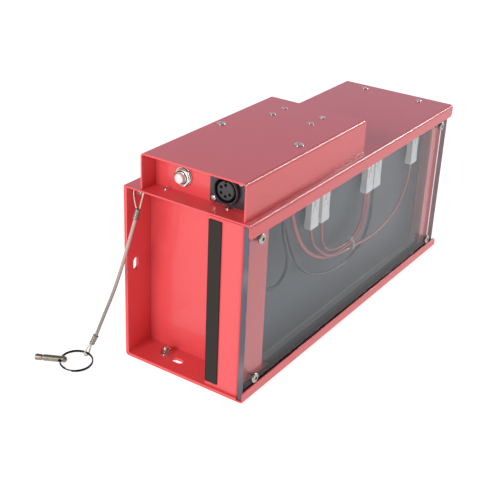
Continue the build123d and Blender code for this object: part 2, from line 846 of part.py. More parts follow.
def redWires():
    """Three red wires: plug to plug, plug to plug, and the thicker one from the breaker to a plug."""
    first = [(plugX[0], plugY, plugBottom), (plugX[0], plugY, 98.0), (-56.4, -47.0, 86.0),
             (-41.0, -51.0, 73.4),
             (-20.0, -51.1, 67.9), (4.0, -51.0, 65.6), (30.0, -50.6, 62.0), (56.0, -49.2, 60.0),
             (80.0, -47.6, 60.8), (101.0, -46.4, 66.5), (118.0, -44.6, 76.0), (plugX[4], plugY, 93.0),
             (plugX[4], plugY, plugBottom)]
    second = [(plugX[1], plugY, plugBottom), (plugX[1], plugY, 98.0), (-43.4, -45.6, 87.0),
              (-37.0, -47.5, 76.6),
              (-20.0, -47.5, 71.0), (2.0, -47.5, 69.1), (20.0, -47.5, 74.5), (31.6, -45.8, 85.0),
              (36.6, plugY, 96.5), (36.6, plugY, plugBottom)]
    third = [(breakerRearX + breakerBlade, breakerBladeY[1], breakerZ), (-110.0, breakerBladeY[1], breakerZ),
             (-98.0, 11.0, 172.0), (-95.5, -6.0, 171.6), (-96.0, -24.0, 170.0), (-98.0, -38.0, 166.0),
             (-100.4, -44.6, 156.0), (-100.2, -45.4, 143.0), (-97.6, -46.2, 129.0), (-91.6, -47.2, 113.0),
             (-80.0, -47.4, 96.5), (-62.5, -47.4, 82.0), (-42.0, -47.4, 71.6), (-20.0, -47.4, 66.6),
             (3.0, -47.4, 65.4), (24.0, -47.4, 71.4), (36.4, -45.6, 83.0), (41.2, plugY, 96.0),
             (41.2, plugY, plugBottom)]
    routes = ((first, redWire), (second, redWire), (third, thickRedWire))
    return Compound([wire(points, radius, "red wire " + str(k + 1), 3 * radius)
                     for k, (points, radius) in enumerate(routes)])


def blackWires():
    """Two black wires from the socket, to the battery and to the fourth plug."""
    cups = contactPlaces()
    rear = socketRearX + 4
    upper = max(cups, key=lambda p: p[1])
    lower = min(cups, key=lambda p: p[1])
    first = [(rear, *upper), (-127.0, *upper), (-115.0, -36.0, 173.6), (-109.4, -43.0, 165.0),
             (-108.4, -45.0, 153.0), (-110.4, -45.8, 141.0), (-112.6, -46.5, 128.0), (-109.0, -47.0, 113.0),
             (-103.6, -47.0, 101.0), (-102.4, -47.0, 89.0), (-107.4, -47.0, 79.8), (-117.6, -46.6, 75.0),
             (-129.0, -45.0, 76.0), (-138.5, -39.0, 80.0), (-141.0, -27.0, 88.0), (-136.0, -15.0, 97.0),
             (-123.0, -9.0, 106.0), (-105.0, tabY - 0.5, 113.5), (-86.0, tabY, 118.6), (-69.0, tabY, 120.6),
             (tabX[0], tabY, 115.0), (tabX[0], tabY, batteryZ[1] + tabWidth)]
    second = [(rear, *lower), (-127.0, *lower), (-117.0, -35.0, 165.8),
              (-109.0, -39.2, 161.0), (-107.9, -40.0, 152.0), (-107.0, -40.4, 142.0), (-104.8, -42.6, 129.0),
              (-101.6, -45.6, 114.0), (-96.0, -46.3, 99.0), (-87.0, -46.3, 84.6), (-75.0, -46.3, 72.4),
              (-58.0, -46.3, 61.4), (-38.0, -46.3, 53.6), (-17.0, -46.3, 49.0), (4.0, -46.3, 48.4),
              (24.0, -46.3, 52.6), (40.0, -46.3, 62.4), (50.0, -45.0, 76.0), (plugX[3], plugY, 92.0),
              (plugX[3], plugY, plugBottom)]
    return Compound([wire(points, blackWire, "black wire " + str(k + 1), 3 * blackWire)
                     for k, points in enumerate((first, second))])


def batteryLead():
    """Red lead from the breaker, over the mounting plate, to the battery's positive blade."""
    points = [(breakerRearX + breakerBlade, breakerBladeY[0], breakerZ), (-112.0, breakerBladeY[0], breakerZ),
              (-104.6, 0.0, 170.6), (-102.4, -16.0, 170.4), (-101.8, -30.0, 169.0), (-101.8, -38.4, 160.4),
              (-101.0, -39.4, 149.0), (-96.0, -34.0, 138.6), (-84.0, -24.0, 132.8), (-62.0, -15.0, 130.0),
              (-34.0, -10.0, 127.0), (-4.0, -8.6, 125.0), (26.0, -8.2, 124.6), (50.0, tabY, 124.0),
              (66.0, tabY, 121.6), (tabX[1], tabY, 114.0), (tabX[1], tabY, batteryZ[1] + tabWidth)]
    return wire(points, redWire, "battery lead", 3 * redWire)


def cableTie():
    """Tie round the three red wires at the bottom of their loop."""
    plane = Plane(origin=(tieX - tieWidth / 2, tieY, tieZ), x_dir=(0, 1, 0), z_dir=(1, 0, 0))
    outer = (tieInnerY + 2 * tieThickness, tieInnerZ + 2 * tieThickness)
    band = RectangleRounded(*outer, tieCorner + tieThickness)
    band -= RectangleRounded(tieInnerY, tieInnerZ, tieCorner)
    top = tieZ + outer[1] / 2
    head = box((tieX - 2, tieX + 2), (tieY - 2, tieY + 2), (top - 0.1, top + tieHeadHeight))
    return extrude(plane * band, tieWidth) + head


# ---- bay fittings and lanyard ----

def bayStud():
    """Stud through the bay's floor."""
    return along((*bayStudPlace, bayStudZ[0]), (0, 0, 1), Circle(bayStudRadius), bayStudZ[1] - bayStudZ[0])


def bayNut():
    """Nut and washer on the bay's stud."""
    hole = bayStudRadius + fit / 2
    washer = along((*bayStudPlace, chassisTop), (0, 0, 1), Circle(bayWasherRadius) - Circle(hole),
                   bayWasherThickness)
    return washer + nut((*bayStudPlace, chassisTop + bayWasherThickness), (0, 0, 1), bayNutFlats,
                        bayNutThickness, hole)


def anchorStud():
    """Stud under the bay's top flange that holds the lanyard."""
    return along((anchorX, anchorY, topFlangeZ), (0, 0, -1), Circle(anchorRadius), anchorLength)


def anchorNut():
    """Nut and washer that trap the lanyard's eye."""
    hole = anchorRadius + fit / 2
    seat = (anchorX, anchorY, anchorWasherZ)
    washer = along(seat, (0, 0, 1), Circle(anchorWasherRadius) - Circle(hole), anchorWasherThickness)
    return washer + nut(seat, (0, 0, -1), anchorNutFlats, anchorNutThickness, hole)


def lanyardCable():
    """Coated cable between the two ferrules."""
    return wire(cableRoute, cableRadius, "lanyard cable", 10 * cableRadius)


def ferrules():
    """Crimped sleeves at the cable's two ends."""
    return Compound([rod(*upperFerrule, ferruleRadius), rod(*lowerFerrule, ferruleRadius)])


def upperEye():
    """Bare strand loop round the anchor stud."""
    points = [(-177.9, 50.3, 138.6), (-176.3, 54.0, 145.0), (-174.8, 56.0, 151.0), (-172.2, 55.6, upperEyeZ),
              (-168.4, 54.8, upperEyeZ), (-167.2, 51.0, upperEyeZ), (-168.4, 47.2, upperEyeZ),
              (-172.2, 46.4, upperEyeZ),
              (-174.8, 46.0, 151.0), (-176.0, 47.0, 145.0), (-176.9, 48.1, 138.6)]
    return wire(points, strandRadius, "upper eye", 1.4)


def ringPoint(angle, radius=ringRadius):
    """A point on the tilted ring's centre line."""
    turn = math.radians(angle)
    slope = math.tan(math.radians(ringTilt))
    base = ringHigh - slope * ringRadius * math.cos(math.radians(ringEyeAngle - ringTiltAngle))
    rise = slope * radius * math.cos(math.radians(angle - ringTiltAngle))
    x = ringCentre[0] + radius * math.cos(turn)
    y = ringCentre[1] + radius * math.sin(turn)
    return Vector(x, y, base + rise)


def ringPlane():
    """Plane of the tilted ring."""
    centre = ringPoint(0, 0)
    toward = (ringPoint(ringTiltAngle) - centre).normalized()
    side = (ringPoint(ringTiltAngle + 90) - centre).normalized()
    return Plane(origin=centre, x_dir=toward, z_dir=toward.cross(side))


def splitRing():
    """Ring that joins the lanyard and the pin."""
    return ringPlane() * Torus(ringRadius, ringWire)


def lowerEye():
    """Bare strand loop round the ring's wire."""
    at = ringPoint(ringEyeAngle)
    points = [(-200.2, 81.3, 12.6), (at.X + 3.3, at.Y - 1.2, 8.0), (at.X + 3.3, at.Y, 3.0),
              (at.X + 1.9, at.Y, lowerEyeZ), (at.X - 1.9, at.Y, lowerEyeZ), (at.X - 3.3, at.Y, 3.2),
              (at.X - 2.4, at.Y - 1.0, 8.0), (-202.1, 82.0, 12.6)]
    return wire(points, strandRadius, "lower eye", 1.4)


def releasePin():
    """Round pin with a domed eye end and a groove near its tip."""
    turn = math.radians(ringPinAngle)
    hole = ringPoint(ringPinAngle)
    out = (math.cos(turn), math.sin(turn), 0)
    level = Vector(hole.X, hole.Y, pinRadius) - Vector(*out) * pinEye
    body = along(level, out, Circle(pinRadius), pinLength - pinRadius)
    body += Pos(level) * Sphere(pinRadius)
    tip = body.edges().group_by(lambda e: (e.center() - hole).dot(Vector(*out)))[-1]
    body = chamfer(tip, 0.8)
    tangent = (-math.sin(turn), math.cos(turn), 0)
    body -= along(hole, tangent, Circle(pinHole), 20, -10)
    groove = Circle(pinRadius + 1) - Circle(pinRadius - pinGroove)
    return body - along(level, out, groove, pinGrooveWidth, pinLength - pinRadius - 6)


def main():
    """Build and write every node."""
    os.makedirs("parts", exist_ok=True)
    nodes = {
        "outer_tray": outerTray(),
        "inner_chassis": innerChassis(),
        "front_bulkhead": frontBulkhead(),
        "rear_bulkhead": rearBulkhead(),
        "lid": lid(),
        "lid_screws": lidScrews(),
        "window_panel": windowPanel(),
        "window_screws": windowScrews(),
        "window_rivet_nuts": windowNuts(),
        "edge_strip": edgeStrip(),
        "housing_cover": housingCover(),
        "housing_panel": housingPanel(),
        "housing_pillars": pillars(),
        "pillar_screws": pillarScrews(),
        "board_screws": boardScrews(),
        "board_standoffs": boardStandoffs(),
        "control_board": controlBoard(),
        "board_relay": boardRelay(),
        "board_capacitors": boardCapacitors(),
        "board_terminals": boardTerminals(),
        "ledge_screws": ledgeScrews(),
        "socket_shell": socketShell(),
        "socket_insert": socketInsertBody(),
        "socket_contacts": socketContacts(),
        "socket_screws": socketScrews(),
        "socket_nuts": socketNuts(),
        "breaker_body": breakerBody(),
        "breaker_washer": breakerWasherPlate(),
        "breaker_nut": breakerNut(),
        "breaker_button": breakerButton(),
        "breaker_blades": breakerBlades(),
        "wire_grommet": wireGrommet(),
        "mounting_plate": mountingPlate(),
        "battery_case": batteryCase(),
        "battery_blades": batteryTabs(),
        "battery_clamps": batteryClamps(),
        "floor_screws": floorScrews(),
        "charger_module": chargerModule(),
        "plug_board": plugBoard(),
        "plug_board_spacers": plugBoardSpacers(),
        "plug_headers": plugHeaders(),
        "red_wires": redWires(),
        "black_wires": blackWires(),
        "battery_lead": batteryLead(),
        "cable_tie": cableTie(),
        "bay_stud": bayStud(),
        "bay_nut": bayNut(),
        "anchor_stud": anchorStud(),
        "anchor_nut": anchorNut(),
        "lanyard_cable": lanyardCable(),
        "lanyard_ferrules": ferrules(),
        "lanyard_upper_eye": upperEye(),
        "lanyard_lower_eye": lowerEye(),
        "split_ring": splitRing(),
        "release_pin": releasePin(),
    }
    for k, x in enumerate(plugX):
        nodes["plug_" + str(k + 1)] = plugHousing(x)
    for name, shape in nodes.items():
        export_step(shape, os.path.join("parts", name + ".step"))
    print(len(nodes), "nodes")


main()
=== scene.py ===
import bmesh
import bpy
import math
from mathutils import Matrix, Vector


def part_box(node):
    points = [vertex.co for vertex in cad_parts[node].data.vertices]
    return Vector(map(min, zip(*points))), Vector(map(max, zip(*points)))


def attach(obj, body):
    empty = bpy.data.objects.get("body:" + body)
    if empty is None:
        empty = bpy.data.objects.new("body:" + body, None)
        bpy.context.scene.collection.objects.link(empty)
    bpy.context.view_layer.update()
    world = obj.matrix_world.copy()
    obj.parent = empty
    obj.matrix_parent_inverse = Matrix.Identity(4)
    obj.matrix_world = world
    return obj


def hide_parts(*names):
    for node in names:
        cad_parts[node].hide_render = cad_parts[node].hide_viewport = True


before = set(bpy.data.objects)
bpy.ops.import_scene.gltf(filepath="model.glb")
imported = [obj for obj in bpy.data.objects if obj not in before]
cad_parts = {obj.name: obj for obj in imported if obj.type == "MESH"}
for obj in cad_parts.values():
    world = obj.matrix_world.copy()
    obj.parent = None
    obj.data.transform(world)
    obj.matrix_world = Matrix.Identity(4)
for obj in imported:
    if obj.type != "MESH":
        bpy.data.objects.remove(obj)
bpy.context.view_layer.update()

mm = 0.001
sheet = 1.5 * mm          # every folded sheet of the box
half = sheet / 2
bendRadius = 2.25 * mm    # at the middle of the sheet
xAxis, yAxis, zAxis = Vector((1, 0, 0)), Vector((0, 1, 0)), Vector((0, 0, 1))
lidLow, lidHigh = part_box("lid")
boxHeight = lidHigh.z
lidBottom = boxHeight - sheet
chassisTop = 2 * sheet


def inMm(**sizes):
    return {name: size * mm for name, size in sizes.items()}


# A value read over a surface, so that shader sums are plain Python.
class Reading:
    def __init__(self, finish, socket):
        self.finish, self.socket = finish, socket

    def __add__(self, other):
        return self.finish.sum("ADD", self, other)

    def __rsub__(self, other):
        return self.finish.sum("SUBTRACT", other, self)

    def __mul__(self, other):
        return self.finish.sum("MULTIPLY", self, other)

    def __pow__(self, other):
        return self.finish.sum("POWER", self, other)

    __radd__, __rmul__ = __add__, __mul__


# One material, or the world, under construction. Every node comes from node().
class Finish:
    def __init__(self, name, owners=None, end="ShaderNodeOutputMaterial"):
        self.owner = (bpy.data.materials if owners is None else owners).new(name)
        self.owner.use_nodes = True
        self.tree, self.end = self.owner.node_tree, end
        self.tree.nodes.clear()

    def node(self, kind, settings=None, sockets=None, out=0):
        made = self.tree.nodes.new(kind)
        for key, value in (settings or {}).items():
            setattr(made, key, value)
        for key, value in (sockets or {}).items():
            if isinstance(value, Reading):
                self.tree.links.new(value.socket, made.inputs[key])
            else:
                made.inputs[key].default_value = value
        return Reading(self, made.outputs[out] if made.outputs else None)

    def sum(self, operation, first, second):
        return self.node("ShaderNodeMath", {"operation": operation}, {0: first, 1: second})

    def place(self, kind="Object"):
        return self.node("ShaderNodeTexCoord", None, None, kind)

    def stretched(self, place, by):
        return self.node("ShaderNodeVectorMath", {"operation": "MULTIPLY"}, {0: place, 1: by})

    def noise(self, place, scale, detail=2.0, roughness=0.5):
        return self.node("ShaderNodeTexNoise", None,
                         {"Vector": place, "Scale": scale, "Detail": detail, "Roughness": roughness})

    def steps(self, value, low, high):
        return self.node("ShaderNodeMapRange", {"interpolation_type": "SMOOTHSTEP"},
                         {"Value": value, "From Min": low, "From Max": high})

    def between(self, share, first, second):
        return self.node("ShaderNodeMix", {"data_type": "RGBA"}, {0: share, 6: first, 7: second}, 2)

    def bump(self, height, distance, strength=1.0):
        return self.node("ShaderNodeBump", None,
                         {"Height": height, "Distance": distance, "Strength": strength})

    def solid(self, **sockets):
        return self.node("ShaderNodeBsdfPrincipled", None,
                         {key.replace("_", " "): value for key, value in sockets.items()})

    def done(self, shader):
        self.node(self.end, None, {"Surface": shader})
        return self.owner


# ---- camera ----
# The view turns about the middle of the box. Distance and shifts are in box heights.
cameraLook = dict(turn=-56.78, rise=26.30, roll=2.48, distance=5.938, right=-0.348, up=-0.134,
                  lens=74.8, sensor=36.0, near=0.01, nudge=(0, 0.75 * mm, 0))


def placeCamera(look):
    turn, rise, roll = (math.radians(look[key]) for key in ("turn", "rise", "roll"))
    back = Vector((math.sin(turn) * math.cos(rise), -math.cos(turn) * math.cos(rise), math.sin(rise)))
    right = zAxis.cross(back).normalized()
    up = back.cross(right)
    rolledRight = right * math.cos(roll) + up * math.sin(roll)
    rolledUp = up * math.cos(roll) - right * math.sin(roll)
    aim = Vector((0, 0, boxHeight / 2)) + Vector(look["nudge"])
    away = rolledRight * look["right"] + rolledUp * look["up"] + back * look["distance"]
    data = bpy.data.cameras.new("camera")
    data.lens, data.sensor_width, data.clip_start = look["lens"], look["sensor"], look["near"]
    camera = bpy.data.objects.new("camera", data)
    axes = Matrix((rolledRight, rolledUp, back)).transposed().to_4x4()
    camera.matrix_world = Matrix.Translation(aim + away * boxHeight) @ axes
    bpy.context.scene.collection.objects.link(camera)
    bpy.context.scene.camera = camera


placeCamera(cameraLook)
print("camera placed")


# ---- finishes ----
redLook = dict(colour=(0.77, 0.078, 0.086, 1), deep=(0.72, 0.067, 0.075, 1), cloud=9, grit=2400,
               gritShare=0.2, peelScale=620, peel=0.05 * mm, rough=0.26, roughSpread=0.10, coat=0.3,
               coatRough=0.06)


def redPaint(look):
    f = Finish("redPaint")
    place = f.place()
    cloud = f.noise(place, look["cloud"], 3)
    grit = f.noise(place, look["grit"], 1)
    peel = f.noise(place, look["peelScale"], 2, 0.4) + 0.12 * grit
    blend = cloud * (1 - look["gritShare"]) + grit * look["gritShare"]
    return f.done(f.solid(
        Base_Color=f.between(blend, look["deep"], look["colour"]),
        Roughness=look["rough"] + look["roughSpread"] * cloud,
        Normal=f.bump(peel, look["peel"], 0.35),
        Coat_Weight=look["coat"], Coat_Roughness=look["coatRough"]))


# Three plain families. cloud holds the broad noise's scale and detail, and fine the close noise's detail
# and roughness. share is the cloud's part in the colour, and spread is what fine adds to the roughness.
paintGrain = dict(cloud=(16, 4), fine=(3, 0.6), share=0.6, spread=0.15, bump=0.5, coatRough=0.12)
mouldedGrain = dict(cloud=(40, 3), fine=(3, 0.55), share=0.5, spread=0.12, bump=0.4, coatRough=0.12)
skinGrain = dict(cloud=(60, 2), fine=(3, 0.5), share=0.6, spread=0.15, bump=0.4, coatRough=0.15)


def grained(name, grain, light, dark, rough, scale=900, height=0.03 * mm, coat=0.0, shine=0.5):
    f = Finish(name)
    place = f.place()
    cloud = f.noise(place, *grain["cloud"])
    fine = f.noise(place, scale, *grain["fine"])
    blend = cloud * grain["share"] + fine * (1 - grain["share"])
    return f.done(f.solid(
        Base_Color=f.between(blend, (*dark, 1), (*light, 1)),
        Roughness=rough + grain["spread"] * fine, Specular_IOR_Level=shine,
        Normal=f.bump(fine, height, grain["bump"]),
        Coat_Weight=coat, Coat_Roughness=grain["coatRough"]))


metalLook = dict(brush=(900, 900, 120), stain=160, stainShare=0.7, brushRough=0.16, stainRough=0.08,
                 height=0.02 * mm, bump=0.25)


def metal(name, light, dark, rough, scratch=1.0):
    look = metalLook
    f = Finish(name)
    place = f.place()
    brushed = f.noise(f.stretched(place, look["brush"]), 1, 4, 0.6)
    stain = f.noise(place, look["stain"], 4)
    blend = stain * look["stainShare"] + brushed * (1 - look["stainShare"])
    return f.done(f.solid(
        Base_Color=f.between(blend, (*dark, 1), (*light, 1)), Metallic=1.0,
        Roughness=rough + look["brushRough"] * scratch * brushed + look["stainRough"] * stain,
        Normal=f.bump(brushed, look["height"], look["bump"] * scratch)))


# The foot values place a painted dark band of shade and reflection along the window's foot, above the tray's
# lip.
windowLook = dict(wipe=(9, 9, 26), clear=(0.97, 0.975, 0.98, 1), haze=(0.36, 0.38, 0.40, 1), hazeShare=0.045,
                  faceOn=0.012, edgeOn=0.8, shine=0.025, footHigh=12.0 * mm, footBlur=0.3 * mm,
                  footWave=0.6 * mm, footShadeColour=(0.030, 0.010, 0.013, 1))


def clearSheet(look):
    f = Finish("windowFace")
    place = f.place()
    wipe = f.noise(f.stretched(place, look["wipe"]), 1, 4, 0.55)
    facing = f.node("ShaderNodeLayerWeight", None, {"Blend": 0.5}, "Facing")
    mirror = look["faceOn"] + (look["edgeOn"] - look["faceOn"]) * facing ** 5
    through = f.node("ShaderNodeBsdfTransparent", None, {"Color": look["clear"]})
    haze = f.node("ShaderNodeBsdfDiffuse", None, {"Color": look["haze"]})
    shine = f.node("ShaderNodeBsdfGlossy", None, {"Roughness": look["shine"]})
    hazy = look["hazeShare"] * (0.8 + 0.4 * wipe)
    body = f.node("ShaderNodeMixShader", None, {0: hazy, 1: through, 2: haze})
    glass = f.node("ShaderNodeMixShader", None, {0: mirror, 1: body, 2: shine})
    # a painted dark line of shade along the foot, just above the tray's lip, where the lip keeps the light
    # off the window and the window mirrors the lip's unlit inner face
    height = f.node("ShaderNodeSeparateXYZ", None, {0: place}, "Z") + look["footWave"] * wipe
    foot = 1.0 - f.steps(height, look["footHigh"] - look["footBlur"], look["footHigh"] + look["footBlur"])
    footShade = f.node("ShaderNodeBsdfDiffuse", None, {"Color": look["footShadeColour"]})
    return f.done(f.node("ShaderNodeMixShader", None, {0: foot, 1: glass, 2: footShade}))


sawLook = dict(saw=(2200, 2200, 90), band=(30, 30, 22), bandSteps=(0.35, 0.75), rough=0.22, spread=0.2,
               height=0.03 * mm, bump=0.4)


def clearEdge(name, dark, light):
    look = sawLook
    f = Finish(name)
    place = f.place()
    saw = f.noise(f.stretched(place, look["saw"]), 1, 3, 0.6)
    band = f.noise(f.stretched(place, look["band"]), 1, 2)
    return f.done(f.solid(
        Base_Color=f.between(f.steps(band, *look["bandSteps"]), (*dark, 1), (*light, 1)),
        Roughness=look["rough"] + look["spread"] * saw, Normal=f.bump(saw, look["height"], look["bump"])))


red = redPaint(redLook)
windowFace = clearSheet(windowLook)
windowEdge = clearEdge("windowEdge", (0.066, 0.070, 0.098), (0.175, 0.165, 0.175))
# The far (+X) cut edge is a copy of the edge finish, reddened with a painted reflection of the red sheet
# metal around it.
windowFarEdgeRedReflection = clearEdge("windowFarEdgeRedReflection", (0.26, 0.12, 0.15), (0.32, 0.16, 0.19))
zinc = metal("zincSteel", (0.66, 0.64, 0.60), (0.44, 0.43, 0.41), 0.18)
bright = metal("brightPlate", (0.70, 0.68, 0.64), (0.52, 0.50, 0.47), 0.08, 0.6)
darkSteel = metal("springSteel", (0.032, 0.029, 0.026), (0.014, 0.013, 0.012), 0.24)
pinSteel = metal("pinSteel", (0.36, 0.32, 0.26), (0.20, 0.18, 0.15), 0.20)
strandSteel = metal("strandSteel", (0.66, 0.60, 0.52), (0.42, 0.38, 0.33), 0.28)
ferruleSteel = metal("ferruleSteel", (0.34, 0.32, 0.28), (0.20, 0.19, 0.17), 0.32)
screwSteel = metal("screwSteel", (0.50, 0.48, 0.45), (0.32, 0.31, 0.29), 0.14)
brass = metal("brass", (0.86, 0.70, 0.40), (0.70, 0.54, 0.28), 0.24)
canSleeve = metal("canSleeve", (0.56, 0.58, 0.62), (0.42, 0.44, 0.48), 0.3)
rubber = grained("rubber", paintGrain, (0.030, 0.024, 0.021), (0.017, 0.014, 0.012), 0.62, 1400, 0.06 * mm,
                 shine=0.25)
plateGrey = grained("plateGrey", paintGrain, (0.088, 0.108, 0.122), (0.064, 0.080, 0.092), 0.42, 900,
                    0.05 * mm)
shellBlack = grained("shellBlack", mouldedGrain, (0.030, 0.033, 0.040), (0.018, 0.019, 0.024), 0.30, 1600,
                     0.02 * mm, 0.3)
coreGrey = grained("coreGrey", mouldedGrain, (0.045, 0.044, 0.052), (0.028, 0.028, 0.033), 0.42, 1500)
blackMoulded = grained("blackMoulded", mouldedGrain, (0.035, 0.036, 0.040), (0.022, 0.022, 0.025), 0.38)
buttonWhite = grained("buttonWhite", mouldedGrain, (0.80, 0.79, 0.77), (0.70, 0.69, 0.67), 0.25, 900,
                      0.015 * mm, 0.4)
plugWhite = grained("plugWhite", mouldedGrain, (0.93, 0.93, 0.91), (0.85, 0.85, 0.82), 0.32, 900,
                    0.02 * mm, 0.2)
batteryGrey = grained("batteryGrey", mouldedGrain, (0.10, 0.11, 0.12), (0.07, 0.08, 0.09), 0.5, 1200,
                      0.05 * mm)
chargerBlack = grained("chargerBlack", mouldedGrain, (0.07, 0.08, 0.09), (0.05, 0.055, 0.06), 0.45)
boardGreen = grained("boardGreen", mouldedGrain, (0.035, 0.17, 0.085), (0.02, 0.12, 0.055), 0.35, 400,
                     coat=0.3)
relayBlue = grained("relayBlue", mouldedGrain, (0.06, 0.12, 0.36), (0.04, 0.09, 0.28), 0.35)
terminalGreen = grained("terminalGreen", mouldedGrain, (0.08, 0.27, 0.13), (0.06, 0.20, 0.10), 0.4)
tieNylon = grained("tieNylon", mouldedGrain, (0.50, 0.46, 0.44), (0.40, 0.36, 0.34), 0.4)
redWireSkin = grained("redWireSkin", skinGrain, (0.50, 0.11, 0.12), (0.41, 0.08, 0.09), 0.3, 700, coat=0.3)
blackWireSkin = grained("blackWireSkin", skinGrain, (0.030, 0.031, 0.034), (0.016, 0.016, 0.018), 0.3, 700,
                        coat=0.3)
print("finishes made")


# ---- mesh tools ----
def perpendicular(axis):
    helper = xAxis if abs(axis.x) < 0.8 else yAxis
    first = axis.cross(helper).normalized()
    return first, axis.cross(first)


def pieceFrom(name, bm, finish):
    bmesh.ops.remove_doubles(bm, verts=bm.verts, dist=0.2 * mm * mm)
    bmesh.ops.recalc_face_normals(bm, faces=bm.faces)
    mesh = bpy.data.meshes.new(name)
    bm.to_mesh(mesh)
    bm.free()
    piece = bpy.data.objects.new(name, mesh)
    bpy.context.scene.collection.objects.link(piece)
    if finish:
        mesh.materials.append(finish)
    return piece


# A closed prism from an outline of (u, v) pairs.
def prism(name, outline, origin, u, v, depth, finish=None):
    bm = bmesh.new()
    corners = [bm.verts.new(origin + u * a + v * b) for a, b in outline]
    face = bm.faces.new(corners)
    pushed = bmesh.ops.extrude_face_region(bm, geom=[face])
    moved = [g for g in pushed["geom"] if isinstance(g, bmesh.types.BMVert)]
    bmesh.ops.translate(bm, verts=moved, vec=depth)
    return pieceFrom(name, bm, finish)


def block(name, low, high, finish=None):
    low, high = Vector(low), Vector(high)
    size = high - low
    outline = [(0, 0), (size.x, 0), (size.x, size.y), (0, size.y)]
    return prism(name, outline, low, xAxis, yAxis, zAxis * size.z, finish)


def arcPoints(centre, radius, start, end, steps):
    turns = [math.radians(start + (end - start) * k / steps) for k in range(steps + 1)]
    return [(centre[0] + radius * math.cos(t), centre[1] + radius * math.sin(t)) for t in turns]


def circle(radius, steps=40):
    return arcPoints((0, 0), radius, 0, 360 - 360 / steps, steps - 1)


def hexagon(flats):
    return arcPoints((0, 0), flats / math.sqrt(3), 0, 300, 5)


def drill(radius, place, u, v, reach, steps=40):
    return prism("hole", circle(radius, steps), Vector(place), u, v, reach)


def slotOutline(length, width, steps=12):
    reach, r = (length - width) / 2, width / 2
    return arcPoints((reach, 0), r, -90, 90, steps) + arcPoints((-reach, 0), r, 90, 270, steps)


def roundedBox(width, height, radius, steps=6):
    x, y = width / 2 - radius, height / 2 - radius
    corners = ((x, y, 0), (-x, y, 90), (-x, -y, 180), (x, -y, 270))
    return [p for cx, cy, a in corners for p in arcPoints((cx, cy), radius, a, a + 90, steps)]


# A shape turned about an axis from (radius, height) pairs. Radius 0 closes it on the axis.
def turned(name, outline, origin, axis, finish=None, steps=48, closed=False):
    axis = Vector(axis)
    u, v = perpendicular(axis)
    bm = bmesh.new()
    rings = []
    for radius, height in outline:
        if radius == 0:
            rings.append([bm.verts.new(origin + axis * height)])
            continue
        turns = [2 * math.pi * k / steps for k in range(steps)]
        rings.append([bm.verts.new(origin + axis * height + (u * math.cos(t) + v * math.sin(t)) * radius)
                      for t in turns])
    pairs = list(zip(rings, rings[1:])) + ([(rings[-1], rings[0])] if closed else [])
    for low, high in pairs:
        for k in range(steps):
            n = (k + 1) % steps
            corners = [low[k % len(low)], low[n % len(low)], high[n % len(high)], high[k % len(high)]]
            bm.faces.new(list(dict.fromkeys(corners)))
    return pieceFrom(name, bm, finish)


# The outline of a folded sheet: arcs at the corners of its middle line, then both faces.
def foldOutline(corners, half=sheet / 2, radius=bendRadius, steps=8):
    corners = [Vector(c) for c in corners]
    line = [(corners[0], (corners[1] - corners[0]).normalized())]
    for before, corner, after in zip(corners, corners[1:], corners[2:]):
        first, second = (corner - before).normalized(), (after - corner).normalized()
        turn = math.atan2(first.cross(second), first.dot(second))
        side = math.copysign(1, turn)
        start = corner - first * radius * math.tan(abs(turn) / 2)
        centre = start + Vector((-first.y, first.x)) * side * radius
        for k in range(steps + 1):
            spin = Matrix.Rotation(turn * k / steps, 2)
            line.append((centre + spin @ (start - centre), spin @ first))
    line.append((corners[-1], (corners[-1] - corners[-2]).normalized()))
    left = [(p.x - d.y * half, p.y + d.x * half) for p, d in line]
    right = [(p.x + d.y * half, p.y - d.x * half) for p, d in line]
    return left + right[::-1]


# A tube along points, with turned frames. shape(step, angle) scales the radius.
def tubeMesh(name, points, radius, finish, sides=16, shape=None):
    points = [Vector(p) for p in points]
    bm = bmesh.new()
    rings, u = [], None
    for k, point in enumerate(points):
        ahead = (points[min(k + 1, len(points) - 1)] - points[max(k - 1, 0)]).normalized()
        u = perpendicular(ahead)[0] if u is None else (u - ahead * u.dot(ahead)).normalized()
        v = ahead.cross(u)
        ring = []
        for s in range(sides):
            angle = 2 * math.pi * s / sides
            r = radius * (shape(k, angle) if shape else 1)
            ring.append(bm.verts.new(point + (u * math.cos(angle) + v * math.sin(angle)) * r))
        rings.append(ring)
    for low, high in zip(rings, rings[1:]):
        for s in range(sides):
            n = (s + 1) % sides
            bm.faces.new((low[s], low[n], high[n], high[s]))
    bm.faces.new(rings[0][::-1])
    bm.faces.new(rings[-1])
    return pieceFrom(name, bm, finish)


def applied(piece):
    graph = bpy.context.evaluated_depsgraph_get()
    mesh = bpy.data.meshes.new_from_object(piece.evaluated_get(graph), preserve_all_data_layers=True,
                                           depsgraph=graph)
    piece.modifiers.clear()
    piece.data = mesh
    return piece


def joined(target, operation, tools):
    for tool in tools:
        change = target.modifiers.new("shape", "BOOLEAN")
        change.operation, change.object, change.solver = operation, tool, "EXACT"
    applied(target)
    for tool in tools:
        bpy.data.objects.remove(tool)
    return target


def cut(target, *tools):
    return joined(target, "DIFFERENCE", tools)


def smoothed(piece, angle=32):
    piece.data.shade_smooth()
    piece.data.set_sharp_from_angle(angle=math.radians(angle))
    return piece


# Rounded edges, and flat faces that stay flat in the shading.
def edged(piece, width, steps=3, angle=32):
    piece.data.shade_smooth()
    bevel = piece.modifiers.new("edges", "BEVEL")
    bevel.width, bevel.segments, bevel.limit_method = width, steps, "ANGLE"
    bevel.angle_limit, bevel.use_clamp_overlap = math.radians(angle), True
    weight = piece.modifiers.new("shading", "WEIGHTED_NORMAL")
    weight.mode, weight.weight = "FACE_AREA", 60
    return applied(piece)


